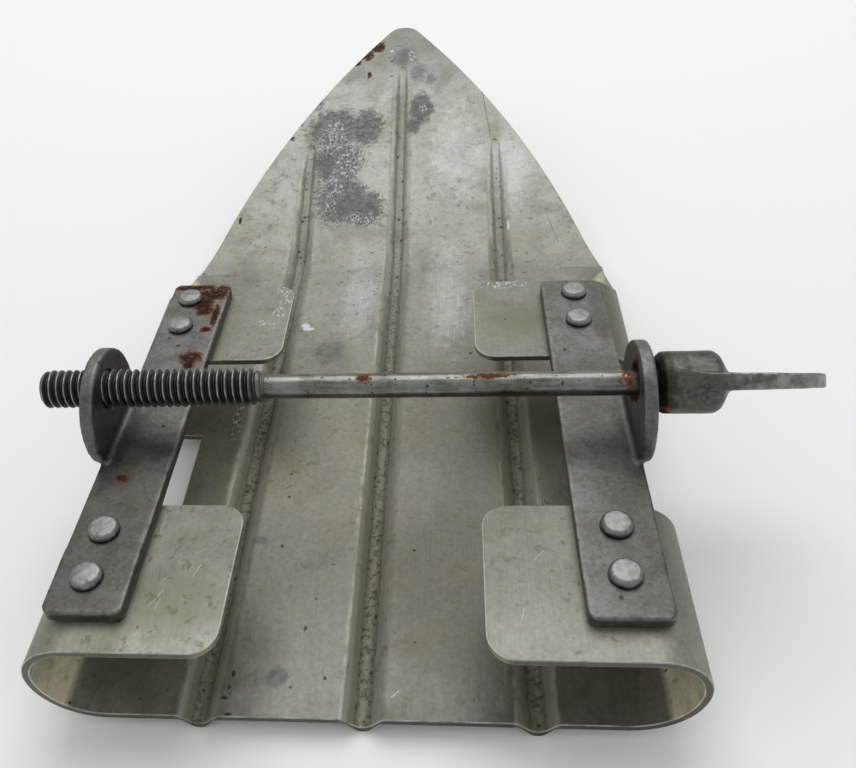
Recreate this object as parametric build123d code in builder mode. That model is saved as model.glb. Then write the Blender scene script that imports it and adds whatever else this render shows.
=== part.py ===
"""Clamp-on ribbed sole plate with a thumb screw: one solid per piece, in millimetres.

X runs across, Y from the heel towards the toe, Z up. The origin is on the crest of the
middle rib, directly under the clamp screw, so the ribs stand on Z = 0.
"""

import os
from math import cos, hypot, radians, sin, tan

from build123d import *

os.makedirs("parts", exist_ok=True)

# Sheet
sheet_t = 1.2                       # gauge of the sole sheet
rib_depth = 2.2                     # how far the ribs stand below the sheet
rib_x = (-24.2, 0.0, 25.1)          # the middle rib runs under the screw
rib_crest = 1.8                     # flat width of a rib's crest
rib_foot = 5.0                      # width of a rib where it leaves the sheet
rib_fade = 13.0                     # length over which a rib runs out
rib_end_depth = 0.1                 # depth at the very end of it
groove_inset = 0.15                 # a groove's floor inside its rib's crest, each side
flank_gain = 0.5                    # a groove's side runs out this much farther than its rib's
groove_over = 0.25                  # a groove's cutter above the sheet, as a share of its depth
rib_to_tip = (45.0, 16.5, 45.0)     # from each rib's front end to the tip, seen from above

# Lengths one after another, from the heel edge to the tip
rear_tab_len = 26.1
notch_len = 31.6                    # between the rear and the front tab
front_tab_len = 33.8
lip_len = 21.5                      # over which the front roll flattens out
toe_gap = 6.7                       # from there to the toe's bend
toe_len = 82.2
leaf_inset = (3.6, 6.5)             # how far a front leaf is set in from its tab's two ends

# Plan
arch_half_w = 48.4
arch_bulge = 5.4                    # height of the outline's arc over its chord
tip_half_w = 2.6                    # half-width of the blunted tip
tip_corner_r = 4.6
notch_inset = 12.7                  # side notches inside the arch

# Toe
toe_angle = 18.0
toe_bend_r = 40.0

# Rolled tabs
pocket_h = 15.05                    # clear height between the sole and a leaf
roll_inset = 0.9                    # rolls inside the arch
roll_low_r = 9.4                    # mid-surface radius of a roll's lower half
leaf_end = 18.1                     # inner end of a leaf, from the middle, mean of the two
leaf_skew = 0.4                     # the left leaves end this much farther out, the right ones nearer
leaf_corner_r = 4.0
root_overlap = 5.7                  # a tab's section starts this far inside the notch line
lip_end_angle = 3.0                 # what is left of the lip's rise where the arch begins

# Straps
strap_w = 11.8
strap_t = 2.2
strap_in = 10.3                     # a strap's middle inside its roll, mean of the two
strap_skew = 0.4                    # the left strap sits this much farther out, the right one nearer
strap_lean = {-1: 0.7, 1: 0.25}     # degrees that the left and right front ends lean to the middle
strap_inset = {-1: (4.6, 8.4), 1: (4.9, 9.8)}     # from the tabs' rear and front ends, left and right
strap_corner_r = 1.5
ear_r = 9.8
ear_bend_r = 0.6
ear_drop = 3.9                      # the ear's centre below the screw
ear_inset = 0.8                     # the ear's inner face inside its strap's outer edge

# Rivets
rivet_r = 1.6
rivet_head_r = 2.45
rivet_crown_r = 1.5                 # flat top of a rivet's head
rivet_head_h = 1.3
rivet_out = {-1: 1.2, 1: 0.1}       # outwards from the strap's middle, left and right
rivet_from_rear = {-1: (6.0, 14.5), 1: (7.0, 15.5)}       # from the strap's rear end
rivet_from_front = {-1: (14.1, 5.2), 1: (12.6, 4.0)}      # from the strap's front end

# Screw
screw_from_tab = 15.9               # ahead of the rear tab
screw_over_strap = 8.2
thread_r = 3.15
thread_len = 37.1
thread_past_ear = 8.6               # thread beyond the left ear
thread_chamfer = 0.6
shank_r = 2.0
socket_depth = 4.0
boss_r = 4.95
boss_len = 11.2
boss_chamfer = 1.2
boss_cone = (1.7, 1.9)              # length and end radius of the boss's tapered end
boss_shoulder = 0.6                 # chamfer where the boss starts to taper
blade_len = 14.0                    # beyond the boss
blade_half_w = 7.4
blade_tilt = 42.0                   # turn of the blade about the screw, heel edge up
blade_root_t = 2.9
blade_tip_t = 2.3
blade_swell = 0.8                   # half-thickness at the root, in root thicknesses
blade_root_at = 0.3                 # where the blade starts, as a share of the boss
blade_neck_at = 0.7                 # where its swelling ends
blade_wide_at = 0.4                 # widest place, as a share of the blade beyond the boss

# Clearances
running = 0.05
rivet_slack = 0.05                  # round a rivet
ear_free = 0.15                     # right ear's hole over the thread
head_gap = 0.5
cut_over = 1.0                      # how far a cutter runs past what it cuts

# Worked out
notch_half_w = arch_half_w - notch_inset
roll_half_w = arch_half_w - roll_inset
strap_x = roll_half_w - strap_in
tab_root = notch_half_w - root_overlap
heel_y = -rear_tab_len - screw_from_tab
front_y = heel_y + rear_tab_len + notch_len
lip_y = front_y + front_tab_len
arch_y = lip_y + lip_len
toe_y = arch_y + toe_gap
tip_y = toe_y + toe_len
toe_rise = radians(toe_angle)
toe_run = toe_len / cos(toe_rise)
sole_z = rib_depth
sole_top = sole_z + sheet_t
leaf_top = sole_top + pocket_h + sheet_t
roll_top_r = pocket_h + sheet_t - roll_low_r
fold_x = roll_half_w - sheet_t / 2 - roll_low_r
lip_end_r = (arch_half_w - fold_x) / sin(radians(lip_end_angle))
strap_z = leaf_top
strap_top = strap_z + strap_t
strap_y = {side: (heel_y + rear, lip_y - front) for side, (rear, front) in strap_inset.items()}
strap_mid = {-1: -strap_x - strap_skew, 1: strap_x - strap_skew}
screw_z = strap_top + screw_over_strap
ear_in = {side: abs(middle) + strap_w / 2 - ear_inset for side, middle in strap_mid.items()}
ear_out = {side: inner + strap_t for side, inner in ear_in.items()}
thread_tip = -ear_out[-1] - thread_past_ear
thread_end = thread_tip + thread_len
head_x = ear_out[1] + head_gap
boss_end = head_x + boss_len
blade_end = boss_end + blade_len


def toe_plane(distance, x):
    """Plane square to the raised toe, that far along its underside from the bend."""
    spot = (x, toe_y + distance * cos(toe_rise), sole_z + distance * sin(toe_rise))
    return Plane(origin=spot, x_dir=(1, 0, 0), z_dir=(0, -cos(toe_rise), -sin(toe_rise)))


def sole_run(x, start, distance):
    """Line along the sheet's underside: flat, bent, then that far up the toe."""
    straight = toe_bend_r * tan(toe_rise / 2)
    with BuildLine(Plane.YZ.offset(x)) as run:
        flat = Line((start, sole_z), (toe_y - straight, sole_z))
        bend = JernArc(flat @ 1, (1, 0), toe_bend_r, toe_angle)
        Line(bend @ 1, (toe_y + distance * cos(toe_rise), sole_z + distance * sin(toe_rise)))
    return run.wire()


def rivet_spots(side):
    """Where a side's rivets stand, from the heel forwards."""
    rear, front = strap_y[side]
    along = [rear + d for d in rivet_from_rear[side]] + [front - d for d in rivet_from_front[side]]
    return [(strap_mid[side] + side * rivet_out[side], y) for y in along]


def plan_outline():
    """Outline of the sole from above, without its tabs."""
    across, along = arch_half_w - tip_half_w, tip_y - arch_y
    chord = hypot(across, along)
    mid_x = (arch_half_w + tip_half_w) / 2 + arch_bulge * along / chord
    mid_y = (arch_y + tip_y) / 2 + arch_bulge * across / chord
    with BuildSketch() as plan:
        with BuildLine():
            Polyline((0, heel_y), (notch_half_w, heel_y), (notch_half_w, arch_y), (arch_half_w, arch_y))
            ThreePointArc((arch_half_w, arch_y), (mid_x, mid_y), (tip_half_w, tip_y))
            Line((tip_half_w, tip_y), (0, tip_y))
            mirror(about=Plane.YZ)
        make_face()
        fillet(plan.vertices().group_by(Axis.Y)[-1], tip_corner_r)
    return plan.sketch


def rib_section(plane, depth):
    """Rib below the sheet with its root inside the sheet; the plane's origin is on the underside."""
    crest, root = rib_crest / 2, sheet_t / 2
    foot = crest + (rib_foot - rib_crest) / 2 * depth / rib_depth
    left = [(-foot, root), (-foot, 0), (-crest, -depth)]
    with BuildSketch(plane) as section:
        Polygon(*left, *[(-x, y) for x, y in reversed(left)], align=None)
    return section.sketch


def groove_section(plane, depth):
    """Groove that a rib leaves in the sheet's top, drawn on a little above it."""
    bottom = rib_crest / 2 - groove_inset
    flank = ((rib_foot - rib_crest) / 2 + flank_gain) * depth / rib_depth
    mouth = bottom + flank * (1 + groove_over)
    top = sheet_t + depth * groove_over
    with BuildSketch(plane) as section:
        floor = sheet_t - depth
        Polygon((-mouth, top), (-bottom, floor), (bottom, floor), (mouth, top), align=None)
    return section.sketch


def roll_section(plane, side):
    """Section of a rolled tab: flat root, two arcs and a flat leaf."""
    half_t, leaf_x = sheet_t / 2, side * leaf_end - leaf_skew
    with BuildSketch(plane) as section:
        with BuildLine():
            root_out = Line((side * tab_root, sole_z), (side * fold_x, sole_z))
            low_out = JernArc(root_out @ 1, (side, 0), roll_low_r + half_t, 90 * side)
            top_out = JernArc(low_out @ 1, (0, 1), roll_top_r + half_t, 90 * side)
            leaf_out = Line(top_out @ 1, (leaf_x, leaf_top))
            root_in = Line((side * tab_root, sole_top), (side * fold_x, sole_top))
            low_in = JernArc(root_in @ 1, (side, 0), roll_low_r - half_t, 90 * side)
            top_in = JernArc(low_in @ 1, (0, 1), roll_top_r - half_t, 90 * side)
            leaf_in = Line(top_in @ 1, (leaf_x, leaf_top - sheet_t))
            Line(root_out @ 0, root_in @ 0)
            Line(leaf_out @ 1, leaf_in @ 1)
        make_face()
    return section.sketch


def lip_section(y, side, radius, angle):
    """Section of the lip ahead of a front roll: flat root, then an arc turning up."""
    half_t = sheet_t / 2
    with BuildSketch(Plane.XZ.offset(-y)) as section:
        with BuildLine():
            root_out = Line((side * tab_root, sole_z), (side * fold_x, sole_z))
            lip_out = JernArc(root_out @ 1, (side, 0), radius + half_t, angle * side)
            root_in = Line((side * tab_root, sole_top), (side * fold_x, sole_top))
            lip_in = JernArc(root_in @ 1, (side, 0), radius - half_t, angle * side)
            Line(root_out @ 0, root_in @ 0)
            Line(lip_out @ 1, lip_in @ 1)
        make_face()
    return section.sketch


def front_tab_profile():
    """Front tabs from the side: the ends draw in towards the leaf."""
    first, last = front_y, lip_y
    leaf_first, leaf_last = first + leaf_inset[0], last - leaf_inset[1]
    shoulder, above = leaf_top - 2 * sheet_t, leaf_top + cut_over
    with BuildSketch(Plane.YZ) as profile:
        with BuildLine():
            Polyline((leaf_first, above), (leaf_first, shoulder), (first, sole_top + sheet_t), (first, 0))
            Polyline((first, 0), (last, 0), (last, sole_z + roll_low_r), (leaf_last, shoulder))
            Polyline((leaf_last, shoulder), (leaf_last, above), (leaf_first, above))
        make_face()
    return profile.sketch


def rolled_tab(side, rear, length, profile=None):
    """Tab rolled over from the sole's edge to a flat leaf with round corners."""
    with BuildPart() as tab:
        extrude(roll_section(Plane.XZ.offset(-rear - length), side), amount=length)
        if profile:
            extrude(profile, amount=2 * roll_half_w, both=True, mode=Mode.INTERSECT)
        leaf_reach = leaf_end + leaf_skew + running
        corners = tab.edges().filter_by(Axis.Z).filter_by_position(Axis.X, -leaf_reach, leaf_reach)
        fillet(corners, leaf_corner_r)
    return tab.part


def build_sole_sheet():
    """One sheet: arched plan, raised toe, three swaged ribs and four rolled tabs."""
    ribs = [
        (x, toe_run - to_tip / cos(toe_rise) - rib_fade)
        for x, to_tip in zip(rib_x, rib_to_tip)
    ]
    with BuildPart() as sole_sheet:
        with BuildSketch(Plane.XZ.offset(-heel_y)) as strip:
            with Locations((0, sole_z + sheet_t / 2)):
                Rectangle(2 * (arch_half_w + cut_over), sheet_t)
        sweep(strip.sketch, path=sole_run(0, heel_y, toe_run + cut_over))
        extrude(plan_outline(), amount=toe_len, mode=Mode.INTERSECT)
        for x, full in ribs:
            start = Plane(origin=(x, heel_y, sole_z), x_dir=(1, 0, 0), z_dir=(0, -1, 0))
            sweep(rib_section(start, rib_depth), path=sole_run(x, heel_y, full))
            full_rib = rib_section(toe_plane(full, x), rib_depth)
            loft((full_rib, rib_section(toe_plane(full + rib_fade, x), rib_end_depth)), ruled=True)
        for side in (-1, 1):
            add(rolled_tab(side, heel_y, rear_tab_len))
            add(rolled_tab(side, front_y, front_tab_len, front_tab_profile()))
            lip = lip_section(lip_y, side, roll_low_r, 90)
            loft((lip, lip_section(arch_y, side, lip_end_r, lip_end_angle)), ruled=True)
        for x, full in ribs:
            cut_y = heel_y - cut_over
            start = Plane(origin=(x, cut_y, sole_z), x_dir=(1, 0, 0), z_dir=(0, -1, 0))
            sweep(groove_section(start, rib_depth), path=sole_run(x, cut_y, full), mode=Mode.SUBTRACT)
            full_groove = groove_section(toe_plane(full, x), rib_depth)
            faded_groove = groove_section(toe_plane(full + rib_fade, x), rib_end_depth)
            loft((full_groove, faded_groove), ruled=True, mode=Mode.SUBTRACT)
        with BuildSketch(Plane.XY.offset(leaf_top - 2 * sheet_t)):
            with Locations(*rivet_spots(-1), *rivet_spots(1)):
                Circle(rivet_r + rivet_slack)
        extrude(amount=3 * sheet_t, mode=Mode.SUBTRACT)
    sole_sheet.part.label = "sole_sheet"
    export_step(sole_sheet.part, "parts/sole_sheet.step")


def ear_section(side):
    """Section through a strap's outer edge and the ear bent up from it."""
    bend_out, ear_top = ear_bend_r + strap_t, screw_z + ear_r
    with BuildSketch(Plane.XZ.offset(-ear_r)) as section:
        with BuildLine():
            under = Line((strap_mid[side], strap_z), (side * (ear_out[side] - bend_out), strap_z))
            bend = JernArc(under @ 1, (side, 0), bend_out, 90 * side)
            over = Line((strap_mid[side], strap_top), (side * (ear_in[side] - ear_bend_r), strap_top))
            crease = JernArc(over @ 1, (side, 0), ear_bend_r, 90 * side)
            outer, inner = side * ear_out[side], side * ear_in[side]
            Polyline(bend @ 1, (outer, ear_top), (inner, ear_top), crease @ 1)
            Line(over @ 0, under @ 0)
        make_face()
    return section.sketch


def build_strap(side, name, screw_hole_r):
    """Flat bar with a round ear bent up from its outer edge for the screw."""
    with BuildPart() as strap:
        extrude(ear_section(side), amount=2 * ear_r)
        with BuildSketch(Plane.YZ):
            with Locations((0, screw_z - ear_drop)):
                Circle(ear_r)
        extrude(amount=side * 2 * ear_out[side], mode=Mode.INTERSECT)
        rear, front = strap_y[side]
        with BuildSketch(Plane.XY.offset(strap_z)):
            with Locations((strap_mid[side], (rear + front) / 2)):
                RectangleRounded(strap_w, front - rear, strap_corner_r, rotation=side * strap_lean[side])
        extrude(amount=strap_t)
        with BuildSketch(Plane.XY.offset(strap_z - cut_over)):
            with Locations(*rivet_spots(side)):
                Circle(rivet_r + rivet_slack)
        extrude(amount=strap_t + 2 * cut_over, mode=Mode.SUBTRACT)
        extrude(rod_section(strap_mid[side], screw_hole_r), amount=side * 2 * strap_w, mode=Mode.SUBTRACT)
    strap.part.label = name
    export_step(strap.part, f"parts/{name}.step")


def build_rivet(x, y, name):
    """Rivet through a strap and a leaf, set flush underneath."""
    under = leaf_top - sheet_t
    crown = strap_top + rivet_head_h
    with BuildPart() as rivet:
        with BuildSketch(Plane.XZ.offset(-y)):
            with BuildLine():
                Polyline((x, crown), (x + rivet_crown_r, crown), (x + rivet_head_r, strap_top))
                Polyline((x + rivet_head_r, strap_top), (x + rivet_r, strap_top), (x + rivet_r, under))
                Polyline((x + rivet_r, under), (x, under), (x, crown))
            make_face()
        revolve(axis=Axis((x, y, 0), (0, 0, 1)))
    rivet.part.label = name
    export_step(rivet.part, f"parts/{name}.step")


def rod_section(x, radius):
    """Circle square to the screw's line."""
    with BuildSketch(Plane.YZ.offset(x)) as section:
        with Locations((0, screw_z)):
            Circle(radius)
    return section.sketch


def build_threaded_end():
    """Threaded end of the clamp screw, with a socket for the shank."""
    with BuildPart() as threaded_end:
        extrude(rod_section(thread_tip, thread_r), amount=thread_len)
        chamfer(threaded_end.edges().group_by(Axis.X)[0], thread_chamfer)
        extrude(rod_section(thread_end, shank_r + running), amount=-socket_depth, mode=Mode.SUBTRACT)
    threaded_end.part.label = "threaded_end"
    export_step(threaded_end.part, "parts/threaded_end.step")


def build_screw_shank():
    """Plain shank, seated in the threaded end and in the head."""
    seat = socket_depth - head_gap
    with BuildPart() as screw_shank:
        extrude(rod_section(thread_end - seat, shank_r), amount=head_x - thread_end + 2 * seat)
    screw_shank.part.label = "screw_shank"
    export_step(screw_shank.part, "parts/screw_shank.step")


def boss_section():
    """Half section of the boss: chamfered at the ear, tapering round to the blade."""
    cone_len, cone_r = boss_cone
    near = (head_x + boss_chamfer, screw_z + boss_r)
    shoulder = (boss_end - cone_len, screw_z + boss_r)
    with BuildSketch(Plane.XZ) as section:
        with BuildLine():
            Polyline((head_x, screw_z), (head_x, screw_z + boss_r - boss_chamfer), near, shoulder)
            Polyline(shoulder, (boss_end, screw_z + cone_r), (boss_end, screw_z), (head_x, screw_z))
        make_face()
        chamfer(section.vertices().sort_by_distance(shoulder)[0], boss_shoulder)
    return section.sketch


def blade_plan(plane):
    """Spade outline of the thumb blade, X along the screw."""
    root_x, wide_x = head_x + boss_len * blade_root_at, boss_end + blade_len * blade_wide_at
    with BuildSketch(plane) as outline:
        with BuildLine():
            Line((root_x, 0), (root_x, boss_r))
            Spline((root_x, boss_r), (wide_x, blade_half_w), tangents=((1, 0), (1, 0)))
            Spline((wide_x, blade_half_w), (blade_end, 0), tangents=((1, 0), (0, -1)))
            mirror(about=Plane.XZ)
        make_face()
    return outline.sketch


def blade_profile(plane):
    """Thickness of the thumb blade, X along the screw: it swells where it joins the boss."""
    root_x, neck_x = head_x + boss_len * blade_root_at, head_x + boss_len * blade_neck_at
    half_root, half_tip, swell = blade_root_t / 2, blade_tip_t / 2, blade_root_t * blade_swell
    with BuildSketch(plane) as profile:
        with BuildLine():
            Line((root_x, 0), (root_x, swell))
            Spline((root_x, swell), (neck_x, half_root), tangents=((1, -0.3), (1, -0.02)))
            Line((neck_x, half_root), (blade_end - half_tip, half_tip))
            JernArc((blade_end - half_tip, half_tip), (1, 0), half_tip, -90)
            mirror(about=Plane.XZ)
        make_face()
    return profile.sketch


def build_thumb_head():
    """Round boss running out into a flat spade for thumb and finger."""
    tilt = radians(blade_tilt)
    flat = Plane(origin=(0, 0, screw_z), x_dir=(1, 0, 0), z_dir=(0, sin(tilt), cos(tilt)))
    edgewise = Plane(origin=(0, 0, screw_z), x_dir=(1, 0, 0), z_dir=(0, cos(tilt), -sin(tilt)))
    with BuildPart() as thumb_head:
        extrude(blade_plan(flat), amount=boss_r, both=True)
        extrude(blade_profile(edgewise), amount=2 * blade_half_w, both=True, mode=Mode.INTERSECT)
        revolve(boss_section(), axis=Axis((0, 0, screw_z), (1, 0, 0)))
        extrude(rod_section(head_x, shank_r + running), amount=socket_depth, mode=Mode.SUBTRACT)
    thumb_head.part.label = "thumb_head"
    export_step(thumb_head.part, "parts/thumb_head.step")


build_sole_sheet()
build_strap(-1, "left_strap", thread_r + running)
build_strap(1, "right_strap", thread_r + ear_free)
for side, flank in ((-1, "left"), (1, "right")):
    for number, (x, y) in enumerate(rivet_spots(side), 1):
        build_rivet(x, y, f"rivet_{flank}_{number}")
build_threaded_end()
build_screw_shank()
build_thumb_head()
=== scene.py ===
"""Dresses a clamp-on ribbed sole plate: its pressed sheet, riveted steel straps and thumb screw.

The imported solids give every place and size. The pieces made here stand for them with rounded edges,
a cut thread, peened rivets and a forged head, and each has its own worn finish.
"""

import math

import bmesh
import bpy
import numpy as np
from bpy.props import FloatProperty, FloatVectorProperty, PointerProperty
from mathutils import Matrix, Vector, noise
from mathutils.bvhtree import BVHTree


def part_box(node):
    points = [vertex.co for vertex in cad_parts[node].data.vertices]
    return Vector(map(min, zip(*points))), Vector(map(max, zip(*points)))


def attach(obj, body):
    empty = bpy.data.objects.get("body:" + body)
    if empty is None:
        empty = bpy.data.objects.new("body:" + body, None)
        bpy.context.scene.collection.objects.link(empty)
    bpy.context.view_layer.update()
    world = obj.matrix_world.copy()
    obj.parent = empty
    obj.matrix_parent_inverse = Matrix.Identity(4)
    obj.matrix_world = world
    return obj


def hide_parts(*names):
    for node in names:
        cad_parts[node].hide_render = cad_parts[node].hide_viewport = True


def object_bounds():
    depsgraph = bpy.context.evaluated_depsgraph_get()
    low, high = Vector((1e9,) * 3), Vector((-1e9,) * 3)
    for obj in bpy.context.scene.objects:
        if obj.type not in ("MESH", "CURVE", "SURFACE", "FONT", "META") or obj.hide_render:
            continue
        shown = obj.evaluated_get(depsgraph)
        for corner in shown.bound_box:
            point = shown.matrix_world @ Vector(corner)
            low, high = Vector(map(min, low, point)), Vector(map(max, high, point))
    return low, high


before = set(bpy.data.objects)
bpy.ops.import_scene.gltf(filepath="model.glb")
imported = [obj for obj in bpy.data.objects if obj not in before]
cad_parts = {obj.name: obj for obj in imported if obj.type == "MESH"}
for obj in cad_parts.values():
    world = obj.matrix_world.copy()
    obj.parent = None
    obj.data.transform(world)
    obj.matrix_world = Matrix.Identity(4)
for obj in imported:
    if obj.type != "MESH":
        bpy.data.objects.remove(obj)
CAD_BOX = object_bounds()

bl_info = {
    "name": "Clamp-on sole plate",
    "version": (1, 0, 0),
    "blender": (4, 5, 0),
    "location": "3D View > Sidebar > Sole Plate",
    "description": "Makes the pieces, finishes and stage of a clamp-on ribbed sole plate",
    "category": "Object",
}

MM = 0.001
SIDES = ("left", "right")
RIVETS_A_SIDE = 4
WORN = "worn"
CUT = "cut"
CORNER = math.radians(50)           # a bend sharper than this is a corner
SOFT_BEND = math.radians(40)        # the sheet shades smoothly up to this
EDGE_PATCH = (45 * MM) ** 2         # the sheet's cut edges are made of patches smaller than this
SKIN = 0.01 * MM                    # a step too small to see


# ---------------------------------------------------------------- sizes and colours


def length_prop(name, description, millimetres):
    """A length that a user may change, given in millimetres."""
    return FloatProperty(name=name, description=description, default=millimetres * MM, min=0.0,
                         precision=5, unit="LENGTH", subtype="DISTANCE")


def angle_prop(name, description, degrees):
    """An angle that a user may change, given in degrees."""
    return FloatProperty(name=name, description=description, default=math.radians(degrees),
                         unit="ROTATION", subtype="ANGLE")


def colour_prop(name, description, red_green_blue):
    """A colour that a user may change."""
    return FloatVectorProperty(name=name, description=description, default=red_green_blue, size=3,
                               min=0.0, max=1.0, subtype="COLOR")


def place_prop(name, description, millimetres):
    """A place in the part's own frame, given in millimetres."""
    return FloatVectorProperty(name=name, description=description, size=3, precision=5,
                               default=[value * MM for value in millimetres],
                               unit="LENGTH", subtype="TRANSLATION")


class SoleSizes(bpy.types.PropertyGroup):
    """Sizes of the pressed sheet."""

    edge_round: length_prop("Edge round", "How far the cut edges of the sheet are rubbed round", 0.16)
    groove_places: place_prop("Groove places", "Middles of the three pressed grooves along X",
                              (-24.2, 0.0, 25.1))
    groove_depth: length_prop("Groove depth", "Depth of a pressed groove", 2.2)
    groove_floor: length_prop("Groove floor", "Half width of a groove's floor", 0.75)
    groove_shoulder: length_prop("Groove shoulder", "Half width of a groove at its top", 2.85)
    rib_crest: length_prop("Rib crest", "Half width of a rib's crest, under the sheet", 0.9)
    rib_foot: length_prop("Rib foot", "Half width of a rib where it leaves the sheet", 2.5)
    groove_soft: length_prop("Groove softness", "How far the bends of a groove are pressed round", 1.3)
    toe_depth: length_prop("Toe groove depth", "Depth of a groove on the toe", 0.8)
    toe_floor: length_prop("Toe groove floor", "Half width of a groove's floor on the toe", 0.8)
    toe_shoulder: length_prop("Toe groove shoulder", "Half width of a groove at its top on the toe", 1.75)
    toe_change: length_prop("Toe change", "Length over which a groove changes to its toe form", 28)
    middle_end: length_prop("Middle groove end", "Front end of the middle groove", 143.4)
    side_end: length_prop("Side groove end", "Front end of the two side grooves", 114.9)
    groove_fade: length_prop("Groove fade", "Length over which a groove runs out", 12.4)
    toe_start: length_prop("Toe start", "Where the sole starts to turn up, ahead of the screw", 77.7)
    toe_angle: angle_prop("Toe angle", "How steeply the toe is turned up", 18)


class StrapSizes(bpy.types.PropertyGroup):
    """Sizes of the forged look of the straps."""

    thickness: length_prop("Thickness", "Thickness of the bar", 2.2)
    cell: length_prop("Cell", "Size of the mesh cells that the straps are worked in", 0.32)
    dent: length_prop("Dent", "Depth of the dents in the mill steel", 0.07)


class RivetSizes(bpy.types.PropertyGroup):
    """Sizes of the peened rivets."""

    flat: length_prop("Flat", "Radius of the hammered flat on the crown", 1.65)
    shank: length_prop("Shank", "Radius of the rivet's shank", 1.6)
    tail: length_prop("Lower head", "Radius of the head closed under the leaf", 1.9)
    tail_height: length_prop("Lower head height", "Height of the head closed under the leaf", 0.8)
    dent: length_prop("Dent", "Depth of the hammer marks", 0.09)


class ScrewSizes(bpy.types.PropertyGroup):
    """Sizes of the screw."""

    pitch: length_prop("Pitch", "Distance from one thread crest to the next", 1.27)
    depth: length_prop("Depth", "Depth of the thread", 0.72)
    chamfer: length_prop("Chamfer", "Length of the taper at the screw's tip", 0.9)
    run_out: length_prop("Run out", "Length over which the thread dies away", 2.8)
    wobble: length_prop("Wobble", "How far the plain shank is out of round", 0.02)


class HeadSizes(bpy.types.PropertyGroup):
    """Sizes of the forged thumb head."""

    cell: length_prop("Cell", "Size of the mesh cells that the head is worked in", 0.26)
    dent: length_prop("Dent", "Depth of the hammer marks", 0.14)
    blade: length_prop("Blade", "Length of the flat blade that the hand turns", 13.5)


class Finishes(bpy.types.PropertyGroup):
    """Colours of the metals and of the marks on them, some of which are painted light and shade."""

    sole_heel: colour_prop("Sole heel", "Dull aluminium near the heel", (0.225, 0.226, 0.202))
    sole_middle: colour_prop("Sole middle", "Browned aluminium under the screw", (0.20, 0.192, 0.155))
    sole_bend: colour_prop("Sole bend", "Aluminium behind the toe's bend", (0.275, 0.276, 0.25))
    # lighter partly as cleaner aluminium and partly as painted reflection on the raised toe
    sole_toe: colour_prop("Sole toe", "Clean aluminium on the raised toe", (0.305, 0.322, 0.292))
    sole_tip: colour_prop("Sole tip", "Darkened aluminium at the tip", (0.20, 0.21, 0.19))
    sole_tab: colour_prop("Tabs", "Aluminium on the rolled tabs", (0.225, 0.228, 0.196))
    tab_heel: colour_prop("Tab heel", "Aluminium on the rear tabs, near the heel", (0.32, 0.325, 0.28))
    # painted light: far lighter than the tabs' own tone, it stands in for light reaching inside the rolled
    # tabs, over an olive-brown film
    inside_film_and_fill_light: colour_prop("Tab inside", "Brown film inside the rolled tabs", (0.62, 0.58, 0.42))
    sole_under: colour_prop("Underside", "Aluminium rubbed bright by the cloth", (0.46, 0.46, 0.435))
    # violet-grey stain, also laid as painted shade on the right rear of the sole and its tabs
    sole_shade: colour_prop("Sole shade", "Violet-grey handling stain", (0.135, 0.127, 0.112))
    sole_olive: colour_prop("Sole olive", "Old starch and scale", (0.145, 0.14, 0.078))
    sole_stain: colour_prop("Sole stain", "Blotches of oxide", (0.105, 0.11, 0.117))
    # also laid as painted reflection on the toe and as a painted highlight along the rounded rims
    sole_white: colour_prop("Sole white", "White bloom and bare scratches", (0.66, 0.69, 0.69))
    # residue beside the grooves and a painted highlight on their shoulders
    cream_and_highlight: colour_prop("Sole cream", "Residue beside the grooves", (0.52, 0.51, 0.38))
    groove_side: colour_prop("Groove side", "Film on the sides of the grooves", (0.44, 0.42, 0.32))
    # also laid as painted shade beside the thumb head's ear and on the right strap's rear
    pit: colour_prop("Pit", "Pits and packed dirt", (0.035, 0.034, 0.022))
    steel_dark: colour_prop("Strap dark", "Mill scale on the straps", (0.100, 0.099, 0.090))
    steel_light: colour_prop("Strap light", "Straps where the scale is thin", (0.178, 0.176, 0.166))
    steel_worn: colour_prop("Steel worn", "Steel rubbed bright along edges", (0.38, 0.38, 0.36))
    rust_deep: colour_prop("Rust deep", "Heavy old rust", (0.030, 0.011, 0.008))
    rust_thin: colour_prop("Rust thin", "Brown core of a thin rust bloom", (0.085, 0.036, 0.015))
    rust_bright: colour_prop("Rust bright", "Fresh orange rust", (0.215, 0.078, 0.026))
    rivet: colour_prop("Rivet", "Peened aluminium", (0.27, 0.278, 0.262))
    # the thread's colours run by radius: partly painted shade in the roots and a painted highlight on the
    # crests
    thread_dark: colour_prop("Thread dark", "Oil and dirt in the thread", (0.045, 0.047, 0.046))
    thread_flank: colour_prop("Thread flank", "Sides of the thread", (0.135, 0.140, 0.136))
    thread_crest: colour_prop("Thread crest", "Crests of the thread", (0.34, 0.35, 0.325))
    shank: colour_prop("Shank", "Plain shank rubbed by the hand", (0.262, 0.268, 0.25))
    shank_dark: colour_prop("Shank dark", "Plain shank where it is dull", (0.10, 0.094, 0.077))
    head: colour_prop("Head", "Forged thumb head", (0.125, 0.127, 0.108))
    blade: colour_prop("Blade", "Thumb blade rubbed by the hand", (0.33, 0.335, 0.31))


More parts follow.
